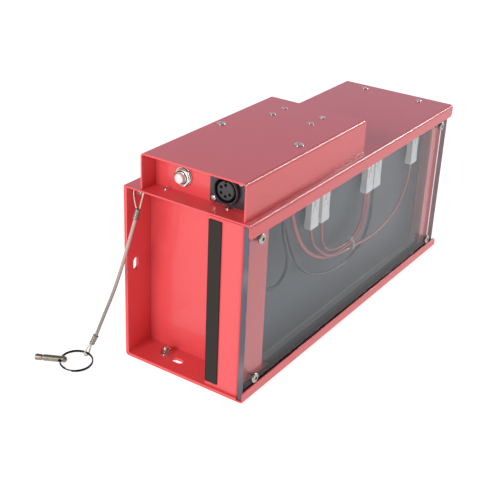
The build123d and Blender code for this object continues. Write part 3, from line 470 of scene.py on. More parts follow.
def merged(name, parts):
    bm = bmesh.new()
    materials = []
    for part in parts:
        for material in part.data.materials:
            if material not in materials:
                materials.append(material)
    for part in parts:
        start = len(bm.faces)
        part.data.transform(part.matrix_world)
        bm.from_mesh(part.data)
        bm.faces.ensure_lookup_table()
        for face in bm.faces[start:]:
            face.material_index = materials.index(part.data.materials[face.material_index])
    mesh = bpy.data.meshes.new(name)
    bm.to_mesh(mesh)
    bm.free()
    for material in materials:
        mesh.materials.append(material)
    for part in parts:
        bpy.data.objects.remove(part)
    piece = bpy.data.objects.new(name, mesh)
    bpy.context.scene.collection.objects.link(piece)
    return piece


def fixed(piece, node, body="enclosure"):
    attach(piece, body)
    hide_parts(node)
    return piece


# ---- lanyard ----
# Points of the coated cable's route, from the upper ferrule to the lower one.
cableRoute = [
    (-0.1800, 0.0500, 0.1300),
    (-0.1840, 0.0536, 0.1100),
    (-0.1874, 0.0596, 0.0840),
    (-0.1906, 0.0660, 0.0610),
    (-0.1942, 0.0724, 0.0415),
    (-0.1984, 0.0786, 0.0205),
]
lanyardLook = dict(diameter=3.0 * mm, strands=6, groove=0.07, twistPitch=11 * mm, ringStep=0.45 * mm,
                   strand=0.75 * mm, length=0.1148)
upperFerrule = ((-0.1774, 0.0492, 0.1385), (-0.1800, 0.0500, 0.1300))
lowerFerrule = ((-0.1984, 0.0786, 0.0205), (-0.2012, 0.0813, 0.0124))
# The ring is nearly two turns of wire. Between swapStart and swapEnd the wire climbs from the lower turn to
# the upper one. Angles are in degrees round the ring.
ringLook = dict(centre=(-0.2175, 0.0843), radius=13.6 * mm, wire=0.60 * mm, lift=0.49 * mm, high=3.2 * mm,
                tilt=4.76, tiltAngle=48.0, eyeAngle=2.0, pinAngle=118.0, turns=1.93, startAngle=205,
                swapStart=0.42, swapEnd=0.58, steps=260)


def smoothLine(route, resolution=14):
    data = bpy.data.curves.new("route", "CURVE")
    data.dimensions, data.resolution_u = "3D", resolution
    spline = data.splines.new("NURBS")
    spline.points.add(len(route) - 1)
    for point, at in zip(spline.points, route):
        point.co = (*at, 1)
    spline.order_u = 3
    spline.use_endpoint_u = True
    carrier = bpy.data.objects.new("route", data)
    bpy.context.scene.collection.objects.link(carrier)
    mesh = bpy.data.meshes.new_from_object(carrier)
    points = [v.co.copy() for v in mesh.vertices]
    bpy.data.objects.remove(carrier)
    return points


# The same line with points a set distance apart.
def evenLine(points, step):
    lengths = [0.0]
    for first, second in zip(points, points[1:]):
        lengths.append(lengths[-1] + (second - first).length)
    count = max(2, round(lengths[-1] / step))
    even, k = [], 0
    for n in range(count + 1):
        goal = lengths[-1] * n / count
        while k < len(lengths) - 2 and lengths[k + 1] < goal:
            k += 1
        share = (goal - lengths[k]) / (lengths[k + 1] - lengths[k])
        even.append(points[k].lerp(points[k + 1], share))
    return even


# The coat is greyer towards the ring and warmer near the box, where a painted reflection of the red box is
# laid on it.
coatLook = dict(low=0.045, high=0.115, light=((0.30, 0.27, 0.23, 1), (0.56, 0.40, 0.36, 1)),
                dark=((0.19, 0.17, 0.15, 1), (0.42, 0.29, 0.26, 1)))


def cableCoat(look):
    f = Finish("cableCoat")
    place = f.place()
    height = f.node("ShaderNodeSeparateXYZ", None, {0: place}, "Z")
    # This height mask paints the box's red reflection onto the coat, strongest high up beside the box.
    boxRedReflection = f.steps(height, look["low"], look["high"])
    fine = f.noise(place, 1500, 3)
    light, dark = f.between(boxRedReflection, *look["light"]), f.between(boxRedReflection, *look["dark"])
    return f.done(f.solid(Base_Color=f.between(fine, dark, light), Roughness=0.30 + 0.15 * fine,
                          Normal=f.bump(fine, 0.03 * mm, 0.4), Coat_Weight=0.4, Coat_Roughness=0.15))


def makeCable(look):
    line = evenLine(smoothLine(cableRoute), look["ringStep"])
    turnPerRing = 2 * math.pi * look["ringStep"] / look["twistPitch"]

    def lobes(ring, angle):
        wave = abs(math.sin(0.5 * look["strands"] * (angle - ring * turnPerRing)))
        return 1 - look["groove"] * (1 - wave)

    cable = tubeMesh("lanyardCable", line, look["diameter"] / 2, cableCoat(coatLook), 48, lobes)
    smoothed(cable, 60)
    return fixed(cable, "lanyard_cable"), line


# Wires laid round each other along a loop.
strandLook = dict(wires=3, groove=0.13, **inMm(step=0.25, pitch=5.2))


def twistedStrand(name, route, radius, finish):
    look = strandLook
    line = evenLine(smoothLine(route, 10), look["step"])
    turn = 2 * math.pi * look["step"] / look["pitch"]

    def lobes(ring, angle):
        return 1 - look["groove"] * (1 - abs(math.sin(look["wires"] / 2 * (angle - ring * turn))))

    return smoothed(tubeMesh(name, line, radius, finish, 24, lobes), 60)


ferruleLook = dict(waists=3, **inMm(radius=2.4, lip=0.35, waistDepth=0.28, waistHalf=0.35, shoulder=0.9))


def makeFerrule(name, ends):
    look = ferruleLook
    start, end = Vector(ends[0]), Vector(ends[1])
    axis = (end - start).normalized()
    long, radius, lip = (end - start).length, look["radius"], look["lip"]
    waist, flat, shoulder = radius - look["waistDepth"], look["waistHalf"], look["shoulder"]
    outline = [(0, 0), (radius - lip, 0), (radius, lip)]
    for k in range(look["waists"]):
        at = long * (k + 1) / (look["waists"] + 1)
        outline += [(radius, at - shoulder), (waist, at - flat), (waist, at + flat), (radius, at + shoulder)]
    outline += [(radius, long - lip), (radius - lip, long), (0, long)]
    piece = smoothed(turned(name, outline, start, axis, ferruleSteel, 32), 50)
    return fixed(piece, "lanyard_ferrules")


def ringPoint(angle, radius=ringLook["radius"]):
    look = ringLook
    slope = math.tan(math.radians(look["tilt"]))
    turn, eyeTurn = math.radians(angle), math.radians(look["eyeAngle"] - look["tiltAngle"])
    base = look["high"] - slope * look["radius"] * math.cos(eyeTurn)
    rise = slope * radius * math.cos(math.radians(angle - look["tiltAngle"]))
    x, y = look["centre"]
    return Vector((x + radius * math.cos(turn), y + radius * math.sin(turn), base + rise))


def makeRing(look):
    centre = ringPoint(0, 0)
    toward = (ringPoint(look["tiltAngle"]) - centre).normalized()
    side = (ringPoint(look["tiltAngle"] + 90) - centre).normalized()
    normal = toward.cross(side)
    points = []
    for k in range(look["steps"] + 1):
        share = k / look["steps"]
        angle = math.radians(look["startAngle"] + 360 * look["turns"] * share - look["tiltAngle"])
        swap = min(max((share - look["swapStart"]) / (look["swapEnd"] - look["swapStart"]), 0), 1)
        lift = look["lift"] * (2 * swap * swap * (3 - 2 * swap) - 1)
        points.append(centre + (toward * math.cos(angle) + side * math.sin(angle)) * look["radius"]
                      + normal * lift)
    ring = smoothed(tubeMesh("splitRing", points, look["wire"], darkSteel, 16), 60)
    return fixed(ring, "split_ring", body="lanyard_ring")


# The pin's groove starts at neck before its flat end, and its sprung ball sits at ballBack before that end.
pinLook = inMm(radius=2.75, length=27.5, eye=3.0, hole=1.65, ball=0.75, ballBack=3.2, ballSunk=0.3,
               neck=7.6, groove=0.5, grooveLong=2.1)


def makePin(look):
    hole = ringPoint(ringLook["pinAngle"])
    turn = math.radians(ringLook["pinAngle"])
    out = Vector((math.cos(turn), math.sin(turn), 0))
    tangent = Vector((-math.sin(turn), math.cos(turn), 0))
    r, end = look["radius"], look["length"] - look["radius"]
    dome = [(r * math.cos(math.radians(a)), -r * math.sin(math.radians(a))) for a in range(80, -1, -10)]
    neck, deep = end - look["neck"], look["groove"]
    after = neck + look["grooveLong"]
    outline = [(0, -r)] + dome + [(r, neck), (r - deep, neck + deep), (r - deep, after - deep), (r, after)]
    outline += [(r, end - 0.9 * mm), (r - 0.25 * mm, end - 0.4 * mm), (r - 0.8 * mm, end), (0, end)]
    start = Vector((hole.x, hole.y, r)) - out * look["eye"]
    pin = turned("releasePin", outline, start, out, pinSteel, 40)
    side = tangent * 8 * mm
    cut(pin, prism("hole", circle(look["hole"], 28), hole - side, out, zAxis, side * 2))
    edged(pin, 0.16 * mm, 2, 40)
    ball = turned("detent", [(0, -1), (0.7, -0.7), (1, 0), (0.7, 0.7), (0, 1)], Vector(), zAxis, bright, 16)
    ball.data.transform(Matrix.Diagonal((look["ball"],) * 3).to_4x4())
    seat = start + out * (end - look["ballBack"]) - tangent * (r - look["ballSunk"])
    ball.data.transform(Matrix.Translation(seat))
    smoothed(ball, 80)
    pin = merged("releasePin", [pin, ball])
    return fixed(pin, "release_pin", body="release_pin")


def makeLanyard():
    look = lanyardLook
    cable, line = makeCable(look)
    upper, lower = makeFerrule("upperFerrule", upperFerrule), makeFerrule("lowerFerrule", lowerFerrule)
    eyeTop = 0.1536
    upperRoute = [(-0.1779, 0.0503, 0.1386), (-0.1763, 0.0540, 0.1450), (-0.1748, 0.0560, 0.1510),
                  (-0.1722, 0.0556, eyeTop), (-0.1684, 0.0548, eyeTop), (-0.1672, 0.0510, eyeTop),
                  (-0.1684, 0.0472, eyeTop), (-0.1722, 0.0464, eyeTop), (-0.1748, 0.0460, 0.1510),
                  (-0.1760, 0.0470, 0.1450), (-0.1769, 0.0481, 0.1386)]
    at = ringPoint(ringLook["eyeAngle"])
    lowerRoute = [Vector((-0.2002, 0.0813, 0.0126)), at + Vector((3.3, -1.2, 4.8)) * mm,
                  at + Vector((3.3, 0, -0.2)) * mm, at + Vector((1.9, 0, -2.35)) * mm,
                  at + Vector((-1.9, 0, -2.35)) * mm, at + Vector((-3.3, 0, 0)) * mm,
                  at + Vector((-2.4, -1.0, 4.8)) * mm, Vector((-0.2021, 0.0820, 0.0126))]
    upperEye = fixed(twistedStrand("upperEye", upperRoute, look["strand"], strandSteel),
                     "lanyard_upper_eye")
    lowerEye = fixed(twistedStrand("lowerEye", lowerRoute, look["strand"], strandSteel),
                     "lanyard_lower_eye")
    ring, pin = makeRing(ringLook), makePin(pinLook)


makeLanyard()
print("lanyard made")


# ---- folded sheets ----
paintEdge = dict(width=0.38 * mm, steps=3)
through = 9 * mm          # enough for a tool to pass through both sheets
slots = dict(floor=Vector((-0.1657, 0.0171, 0)), floorLength=10.8 * mm,
             wall=Vector((-0.1705, 0.0620, 0.0843)), wallLength=11.5 * mm, width=6.2 * mm)
bayStud = dict(place=Vector((-0.1625, 0.0320, 0)), radius=2.5 * mm, hole=2.6 * mm, pitch=0.8 * mm,
               threadDepth=0.4 * mm, nutFlats=7.6 * mm, nut=3.6 * mm, washer=4.9 * mm, washerThick=0.8 * mm)


def slotTools():
    below = -zAxis * through / 3
    floor = prism("floorTool", slotOutline(slots["floorLength"], slots["width"]), slots["floor"] + below,
                  yAxis, -xAxis, zAxis * through)
    wall = prism("wallTool", slotOutline(slots["wallLength"], slots["width"]), slots["wall"],
                 zAxis, xAxis, -yAxis * through)
    stud = drill(bayStud["hole"], bayStud["place"] + below, xAxis, yAxis, zAxis * through, 24)
    return [floor, wall, stud]


def alongX(name, corners, low, high, finish=red):
    return prism(name, foldOutline(corners), Vector((low, 0, 0)), yAxis, zAxis, xAxis * (high - low), finish)


def painted(piece, node, *tools):
    if tools:
        cut(piece, *tools)
    return fixed(edged(piece, **paintEdge), node)


trayLook = inMm(lip=10.5, nose=5)  # the lip's height and its rounded ends


def makeTray():
    low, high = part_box("outer_tray")
    lip, nose = trayLook["lip"], trayLook["nose"]
    edge = high.y - half
    tray = alongX("outerTray", [(-edge, lip), (-edge, half), (edge, half), (edge, high.z)], low.x, high.x)
    tools = slotTools()
    for side, at in ((1, low.x), (-1, high.x)):
        corner = [(-1 * mm, nose + 2 * mm), (-1 * mm, 0)]
        corner += arcPoints((nose, 0), nose, 180, 90, 10) + [(nose, nose + 2 * mm)]
        place = Vector((at, low.y - 3 * mm, lip - nose))
        tools.append(prism("nose", corner, place, xAxis * side, zAxis, yAxis * 8 * mm))
    painted(tray, "outer_tray", *tools)


def makeChassis():
    low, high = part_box("inner_chassis")
    corners = [(low.y, low.z + half), (high.y - half, low.z + half), (high.y - half, high.z)]
    painted(alongX("innerChassis", corners, low.x, high.x), "inner_chassis", *slotTools())


flangeSeam = 0.05 * mm    # how far a flange sinks into its wall


# An upright folded wall with a flange under the lid. The flange's box has its low corner at (x, y).
def makeBulkhead(name, node, corners, x, y, highX):
    low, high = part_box(node)
    top = lidBottom - sheet
    wall = prism(name, foldOutline(corners), Vector((0, 0, low.z)), xAxis, yAxis, zAxis * (top - low.z), red)
    joined(wall, "UNION", [block("flange", (x, y, top - flangeSeam), (highX, high.y, high.z))])
    painted(wall, node)


bulkheadLook = inMm(backX=-151.5, bayY=-19.5, windowFlange=34.0, frontInset=2, rearFlange=14, rearInset=4)


def makeFrontBulkhead():
    low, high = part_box("front_bulkhead")
    backX, bayY = bulkheadLook["backX"], bulkheadLook["bayY"]
    frontX, frontY = low.x + half, low.y + half
    corners = [(backX + half, high.y), (backX + half, bayY - half), (frontX, bayY - half), (frontX, frontY),
               (low.x + bulkheadLook["windowFlange"], frontY)]
    makeBulkhead("frontBulkhead", "front_bulkhead", corners, low.x + bulkheadLook["frontInset"], bayY + half,
                 backX + sheet)


def makeRearBulkhead():
    low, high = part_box("rear_bulkhead")
    corners = [(high.x - half, high.y), (high.x - half, low.y + half), (low.x, low.y + half)]
    makeBulkhead("rearBulkhead", "rear_bulkhead", corners, high.x - bulkheadLook["rearFlange"],
                 low.y + bulkheadLook["rearInset"], high.x)


lidLook = inMm(notchHalf=3, notchRise=2.6, wireHole=9)


def makeLid():
    wide, rise = lidLook["notchHalf"], lidLook["notchRise"]
    front, top = lidLow.y + half, lidHigh.z - half
    lid = alongX("lid", [(front, lidLow.z), (front, top), (lidHigh.y, top)], lidLow.x, lidHigh.x)
    tools = [prism("notch", [(-wide, -1 * mm), (wide, -1 * mm), (0, rise)],
                   Vector((x, lidLow.y - 2 * mm, lidLow.z)), xAxis, zAxis, yAxis * 5 * mm)
             for x in (lidLow.x, lidHigh.x)]
    middle = sum(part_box("wire_grommet"), Vector()) / 2
    place = (middle.x, middle.y, lidLow.z)
    painted(lid, "lid", *tools, drill(lidLook["wireHole"], place, xAxis, yAxis, zAxis * 20 * mm))


def makeHousing():
    low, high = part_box("housing_cover")
    left, right, top = low.y + half, high.y - half, high.z - half
    cover = alongX("housingCover", [(left, low.z), (left, top), (right, top), (right, low.z)], low.x, high.x)
    joined(cover, "UNION", [block("rear", (high.x - sheet, left, low.z), (high.x, right, top))])
    painted(cover, "housing_cover")


socketLook = dict(screwTurn=30, **inMm(y=-27.4, z=171.8, hole=12.0, ring=11.6, bore=9.8, core=7.8,
                                       proud=5.4, flange=2.0, width=32.0, height=26.0, corner=1.3, body=20,
                                       boreDeep=15, rimLean=0.7, contactCircle=4.6, contactHole=1.35,
                                       contactDepth=3.4, sleeve=9.0, sleeveOuter=1.05, sleeveInner=0.6,
                                       keyHalf=0.9, keyDeep=1.4, screwY=12.2, screwZ=9.3, screwDrop=0.7,
                                       screwHole=1.6, screwHead=2.6, screwHeight=1.3, screwArm=1.5))
breakerLook = dict(threads=13, **inMm(y=15.0, z=171.0, neck=5.5, neckOut=4.4, washer=8.0,
                                      washerThick=1.0, flats=13.0, nut=2.5, button=4.0, gap=0.08,
                                      threadStep=0.35, threadDepth=0.3))
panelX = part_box("housing_panel")[0].x
panelLook = inMm(lean=1.6, tab=12, tabInset=3)
clear = 0.1 * mm          # room round a neck or a stud


def makePanel():
    low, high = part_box("housing_panel")
    look = panelLook
    width, height, lean = high.y - low.y, high.z - low.z, look["lean"]
    outline = [(0, 0), (width, 0), (width, height - lean), (width - lean, height), (lean, height),
               (0, height - lean)]
    panel = prism("housingPanel", outline, low, yAxis, zAxis, xAxis * sheet, red)
    left, right = low.y + look["tabInset"], high.y - look["tabInset"]
    tabs = [block("tab", (low.x + half, left, z), (low.x + look["tab"], right, z + sheet))
            for z in (low.z, high.z - sheet)]
    joined(panel, "UNION", tabs)
    holes = ((socketLook["hole"], socketLook), (breakerLook["neck"] + clear, breakerLook))
    tools = [drill(radius, (low.x - 5 * mm, at["y"], at["z"]), yAxis, zAxis, xAxis * 30 * mm)
             for radius, at in holes]
    fixed(edged(cut(panel, *tools), 0.3 * mm, 2), "housing_panel")


def makePlate():
    low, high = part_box("mounting_plate")
    corners = [(low.y, low.z + half), (high.y - half, low.z + half), (high.y - half, high.z)]
    plate = alongX("mountingPlate", corners, low.x, high.x, plateGrey)
    fixed(edged(plate, **paintEdge), "mounting_plate")


def makeStrip():
    low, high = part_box("edge_strip")
    strip = block("edgeStrip", low, high, rubber)
    fixed(edged(strip, 0.35 * mm, 3), "edge_strip")


for make in (makeTray, makeChassis, makeFrontBulkhead, makeRearBulkhead, makeLid, makeHousing, makePanel,
             makePlate, makeStrip):
    make()
print("sheet metal made")


# ---- window ----
windowScrew = dict(x=(-164.0 * mm, 160.0 * mm), z=(16.0 * mm, 140.6 * mm), hole=2.7 * mm, head=4.4 * mm,
                   height=2.2 * mm, socket=3.0 * mm, shank=2.4 * mm)
windowScrewPlaces = [(x, z) for x in windowScrew["x"] for z in windowScrew["z"]]


def makeWindow():
    low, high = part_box("window_panel")
    size, lean = high - low, 1.2 * mm                 # lean: the slope along the outer edges
    outline = [(lean, 0), (0, lean), (0, size.z - lean), (lean, size.z), (size.y, size.z), (size.y, 0)]
    window = prism("windowPanel", outline, low, yAxis, zAxis, xAxis * size.x, windowFace)
    tools = [drill(windowScrew["hole"], (x, low.y - 3 * mm, z), xAxis, zAxis, yAxis * 15 * mm, 32)
             for x, z in windowScrewPlaces]
    window = edged(cut(window, *tools), 0.25 * mm, 2)
    window.data.materials.clear()
    for finish in (windowFace, windowEdge, windowFarEdgeRedReflection):
        window.data.materials.append(finish)
    for face in window.data.polygons:                 # the big faces are clear, the cut edges are not, and the far (+X) edge takes the copy with painted red reflection
        face.material_index = 0 if abs(face.normal.y) > 0.95 else (2 if face.normal.x > 0.5 else 1)
    fixed(window, "window_panel")


makeWindow()


# ---- screws and nuts ----
# A domed head on the +Z side of the origin, with its drive cut in.
headLook = dict(rim=0.33, steps=7, foot=0.2 * mm, driveDeep=0.75, armWidth=0.23)


def screwHead(radius, height, finish, drive, size):
    look = headLook
    rim, foot = height * look["rim"], -look["foot"]
    outline = [(0, foot), (radius * 0.9, foot), (radius, 0), (radius, rim)]
    turns = [math.radians(90 * k / look["steps"]) for k in range(1, look["steps"])]
    outline += [(radius * math.cos(t) ** 0.6, rim + (height - rim) * math.sin(t)) for t in turns]
    outline.append((0, height))
    head = turned("head", outline, Vector(), zAxis, finish, 40)
    deep, wide = zAxis * height * look["driveDeep"], size * look["armWidth"]
    arm = [(-size, -wide), (size, -wide), (size, wide), (-size, wide)]
    shapes = [(arm, xAxis, yAxis), (arm, yAxis, -xAxis)]
    if drive == "hex":
        shapes = [(hexagon(size), xAxis, yAxis)]
    cut(head, *[prism("drive", shape, zAxis * height - deep, u, v, deep * 3) for shape, u, v in shapes])
    return edged(head, 0.09 * mm, 2, 40)


# Copies of one part at (place, direction, turn) triples.
def stamped(name, part, places):
    copies = []
    for place, axis, turn in places:
        copy = bpy.data.objects.new(name, part.data.copy())
        bpy.context.scene.collection.objects.link(copy)
        spin = zAxis.rotation_difference(Vector(axis)).to_matrix().to_4x4()
        own = Matrix.Rotation(math.radians(turn), 4, "Z")
        copy.matrix_world = Matrix.Translation(Vector(place)) @ spin @ own
        copies.append(copy)
    bpy.context.view_layer.update()
    bpy.data.objects.remove(part)
    return merged(name, copies)


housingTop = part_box("housing_cover")[1].z
screwSets = dict(ledge=dict(x=(-0.1662,), y=(-0.0297, 0.0297), z=boxHeight, head=2.5 * mm, height=1.2 * mm),
                 lid=dict(x=(0.169,), y=(-0.028, 0.033), z=boxHeight, head=3.0 * mm, height=1.4 * mm),
                 pillar=dict(x=(-0.0862,), y=(-0.041, 0.0347), z=housingTop, head=3.9 * mm, height=1.1 * mm),
                 board=dict(x=(-0.037, -0.0174), y=(-0.0224, 0.0158), z=housingTop, head=2.8 * mm,
                            height=0.9 * mm))
driveShare = 0.55         # a cross drive's arm as a share of the head's radius


# Each screw is left at its own turn, in degrees.
def makeSmallScrews():
    for name, look in screwSets.items():
        head = screwHead(look["head"], look["height"], bright, "cross", look["head"] * driveShare)
        centres = [Vector((x, y, look["z"])) for x in look["x"] for y in look["y"]]
        places = [(centre, zAxis, 25 + 37 * k) for k, centre in enumerate(centres)]
        fixed(stamped(name + "Screws", head, places), name + "_screws")


def makeWindowScrews():
    head = screwHead(windowScrew["head"], windowScrew["height"], screwSteel, "hex", windowScrew["socket"])
    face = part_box("window_panel")[0].y
    places = [(Vector((x, face, z)), -yAxis, 12 + 40 * k) for k, (x, z) in enumerate(windowScrewPlaces)]
    heads = stamped("windowScrews", head, places)
    long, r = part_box("window_screws")[1].y - face, windowScrew["shank"]
    shanks = [smoothed(turned("shank", [(0, 0), (r, 0), (r, long), (0, long)], place, yAxis, zinc, 20), 40)
              for place, _, _ in places]
    fixed(merged("windowScrews", [heads, *shanks]), "window_screws")


# A chamfered hexagon nut standing on the origin along +Z.
def hexNut(flats, height, hole, finish):
    reach, lean = flats / math.sqrt(3) + 2 * mm, 0.12 * flats
    nut = prism("nut", hexagon(flats), Vector(), xAxis, yAxis, zAxis * height, finish)
    lens = turned("lens", [(0, -mm), (reach, -mm), (reach, height - lean), (flats / 2 * 0.96, height),
                           (0, height)], Vector(), zAxis, None, 48)
    joined(nut, "INTERSECT", [lens])
    cut(nut, drill(hole, -zAxis * mm, xAxis, yAxis, zAxis * (height + 2 * mm), 32))
    return edged(nut, 0.12 * mm, 2, 28)


# A threaded rod: a grid of rings whose radius follows the thread.
def threaded(name, origin, axis, radius, length, pitch, depth, finish):
    perTurn = 8                                       # rings of points in one turn of the thread
    step = pitch / perTurn
    points = [origin + axis * (step * k) for k in range(int(length / step) + 1)]

    def ridge(ring, angle):
        share = (ring / perTurn + angle / (2 * math.pi)) % 1
        last = min(ring, len(points) - 1 - ring)
        taper = 1 - 0.12 * max(0, 1 - last / 4)
        return taper * (1 - depth / radius * abs(2 * share - 1))

    return smoothed(tubeMesh(name, points, radius, finish, 28, ridge), 70)


def washer(name, place, axis, inner, outer, thickness, finish):
    outline = [(inner, 0), (outer, 0), (outer, thickness), (inner, thickness)]
    ring = turned(name, outline, place, axis, finish, 48, closed=True)
    return edged(ring, thickness * 0.25, 2, 40)


anchorLook = inMm(radius=2.0, pitch=0.7, threadDepth=0.3, seat=152.0, nutFlats=6.6, nut=2.6, washer=4.0,
                  washerThick=0.7)


# A threaded stud that starts at origin, with its washer on a seat and its nut along nutWay from nutBase.
def studAndNut(look, names, nodes, origin, axis, long, seat, nutBase, nutWay, turn):
    radius = look["radius"]
    rod = threaded(names[0], origin, axis, radius, long, look["pitch"], look["threadDepth"], zinc)
    fixed(rod, nodes[0])
    shape = hexNut(look["nutFlats"], look["nut"], radius + clear / 2, bright)
    nut = stamped("nut", shape, [(nutBase, nutWay, turn)])
    disc = washer("disc", seat, zAxis, radius + clear, look["washer"], look["washerThick"], bright)
    fixed(merged(names[1], [nut, disc]), nodes[1])


def makeBayFittings():
    low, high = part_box("bay_stud")
    place = bayStud["place"]
    seat = Vector((place.x, place.y, chassisTop))
    studAndNut(bayStud, ("bayStud", "bayNut"), ("bay_stud", "bay_nut"),
               Vector((place.x, place.y, low.z)), zAxis, high.z - low.z, seat,
               seat + zAxis * bayStud["washerThick"], zAxis, 14)
    low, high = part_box("anchor_stud")
    middle = (low + high) / 2
    seat = Vector((middle.x, middle.y, anchorLook["seat"]))
    studAndNut(anchorLook, ("anchorStud", "anchorNut"), ("anchor_stud", "anchor_nut"),
               Vector((middle.x, middle.y, high.z)), -zAxis, high.z - low.z, seat, seat, -zAxis, 8)


makeSmallScrews()
makeWindowScrews()
makeBayFittings()
print("fasteners made")


# ---- socket and breaker ----
def socketContactPlaces():
    turns = [math.radians(210 + 60 * k) for k in range(5)]
    r = socketLook["contactCircle"]
    return [(socketLook["y"] + r * math.cos(t), socketLook["z"] + r * math.sin(t)) for t in turns]


def socketScrewPlaces():
    look = socketLook
    return [(look["y"] + side * look["screwY"], look["z"] - look["screwDrop"] - side * look["screwZ"])
            for side in (-1, 1)]


def makeSocketShell(look, centre):
    shell = prism("socketShell", roundedBox(look["width"], look["height"], look["corner"]), centre,
                  yAxis, zAxis, -xAxis * look["flange"], shellBlack)
    ring, bore, proud, lean = look["ring"], look["bore"], look["proud"], look["rimLean"]
    back = -look["body"]
    outline = [(0, back), (ring, back), (ring, proud - lean), (ring - lean, proud), (0, proud)]
    joined(shell, "UNION", [turned("barrel", outline, centre, -xAxis, None, 64)])
    back, past = -look["boreDeep"], proud + 0.8 * mm
    outline = [(0, back), (bore, back), (bore, past - 2 * lean), (bore + 2 * lean, past), (0, past)]
    tools = [turned("bore", outline, centre, -xAxis, None, 64)]
    tools += [drill(look["screwHole"], (panelX - 5 * mm, y, z), yAxis, zAxis, xAxis * 20 * mm, 24)
              for y, z in socketScrewPlaces()]
    cut(shell, *tools)
    fixed(edged(shell, 0.28 * mm, 3, 30), "socket_shell")


def makeSocketCore(look, centre):
    low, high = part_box("socket_insert")
    long, r, lean = high.x - low.x, look["core"], 0.6 * mm
    outline = [(0, 0), (r, 0), (r, long - lean), (r - lean, long), (0, long)]
    core = turned("socketCore", outline, Vector((high.x, centre.y, centre.z)), -xAxis, coreGrey, 56)
    front, keyHalf = low.x - 1 * mm, look["keyHalf"]
    tools = [drill(look["contactHole"], (front, y, z), yAxis, zAxis, xAxis * 9 * mm, 24)
             for y, z in socketContactPlaces()]
    tools.append(block("key", (front, centre.y - keyHalf, centre.z + r - look["keyDeep"]),
                       (low.x + 6 * mm, centre.y + keyHalf, centre.z + r + mm)))
    fixed(edged(cut(core, *tools), 0.14 * mm, 2, 35), "socket_insert")
    return low.x + look["contactDepth"]


# A hollow sleeve for each contact, with a solid tail behind it.
def makeSocketContacts(look, front):
    inner, outer, deep = look["sleeveInner"], look["sleeveOuter"], look["sleeve"]
    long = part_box("socket_contacts")[1].x - front - deep
    parts = []
    for y, z in socketContactPlaces():
        sleeve = [(inner, 0), (outer, 0), (outer, deep), (inner, deep)]
        parts.append(turned("contact", sleeve, Vector((front, y, z)), xAxis, brass, 24, closed=True))
        tail = [(0, 0), (outer, 0), (outer, long), (0, long)]
        parts.append(turned("tail", tail, Vector((front + deep, y, z)), xAxis, brass, 20))
    for part in parts:
        smoothed(part, 40)
    fixed(merged("socketContacts", parts), "socket_contacts")


def makeSocket():
    look = socketLook
    centre = Vector((panelX, look["y"], look["z"]))
    makeSocketShell(look, centre)
    makeSocketContacts(look, makeSocketCore(look, centre))
    head = screwHead(look["screwHead"], look["screwHeight"], bright, "cross", look["screwArm"])
    places = [(Vector((panelX - look["flange"], y, z)), -xAxis, look["screwTurn"] + 2 * y / mm)
              for y, z in socketScrewPlaces()]
    fixed(stamped("socketScrews", head, places), "socket_screws")


def makeBreaker():
    look = breakerLook
    centre = Vector((panelX, look["y"], look["z"]))
    r, out, thread = look["neck"], look["neckOut"], look["threadDepth"]
    thick = look["washerThick"]
    disc = washer("breakerWasher", centre, -xAxis, r + clear, look["washer"], thick, bright)
    fixed(disc, "breaker_washer")
    nut = stamped("breakerNut", hexNut(look["flats"], look["nut"], r + clear, zinc),
                  [(centre - xAxis * thick, -xAxis, 17)])
    fixed(nut, "breaker_nut")
    low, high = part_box("breaker_body")
    case = edged(block("case", (panelX + sheet, low.y, low.z), high, blackMoulded), 0.8 * mm, 3)
    inner = look["button"] + look["gap"]
    outline = [(inner, -sheet), (r - thread, -sheet)]
    outline += [(r - (thread if k % 2 else 0), -sheet + look["threadStep"] * (k + 1))
                for k in range(look["threads"])]
    outline += [(r - thread, out - 0.7 * mm), (r - 0.45 * mm, out - 0.3 * mm), (r - 0.8 * mm, out),
                (look["button"] + 0.3 * mm, out), (inner, out - 0.3 * mm)]
    neck = smoothed(turned("neck", outline, centre, -xAxis, bright, 56, closed=True), 50)
    fixed(merged("breakerBody", [case, neck]), "breaker_body")
    makeButton(look)


# The button's face has a rounded rim and a shallow dish.
def makeButton(look):
    low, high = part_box("breaker_button")
    long, r = high.x - low.x, look["button"]
    outline = [(0, 0), (r, 0), (r, long - 0.6 * mm), (r - 0.2 * mm, long - 0.2 * mm), (r - 0.6 * mm, long),
               (r - 1.0 * mm, long - 0.05 * mm), (r - 1.3 * mm, long - 0.35 * mm),
               (r - 1.8 * mm, long - 0.35 * mm), (0, long - 0.2 * mm)]
    place = Vector((high.x, look["y"], look["z"]))
    button = smoothed(turned("breakerButton", outline, place, -xAxis, buttonWhite, 48), 40)
    fixed(button, "breaker_button", body="breaker_button")


makeSocket()
makeBreaker()
print("socket and breaker made")


# ---- wires and plugs ----
# The wires' routes are in millimetres.
plugCount = 5
plugX = [sum(corner.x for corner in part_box("plug_%d" % k)) / 2 / mm for k in range(1, plugCount + 1)]
plugY = -43.5
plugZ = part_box("plug_1")[0].z / mm
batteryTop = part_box("battery_blades")[1].z / mm
tabY = -8.0
wireLook = dict(sides=20, **inMm(red=1.3, thickRed=1.9, black=1.5))


def wirePiece(name, node, route, radius, finish):
    line = smoothLine([Vector(p) * mm for p in route], 12)
    return fixed(smoothed(tubeMesh(name, line, radius, finish, wireLook["sides"]), 60), node)


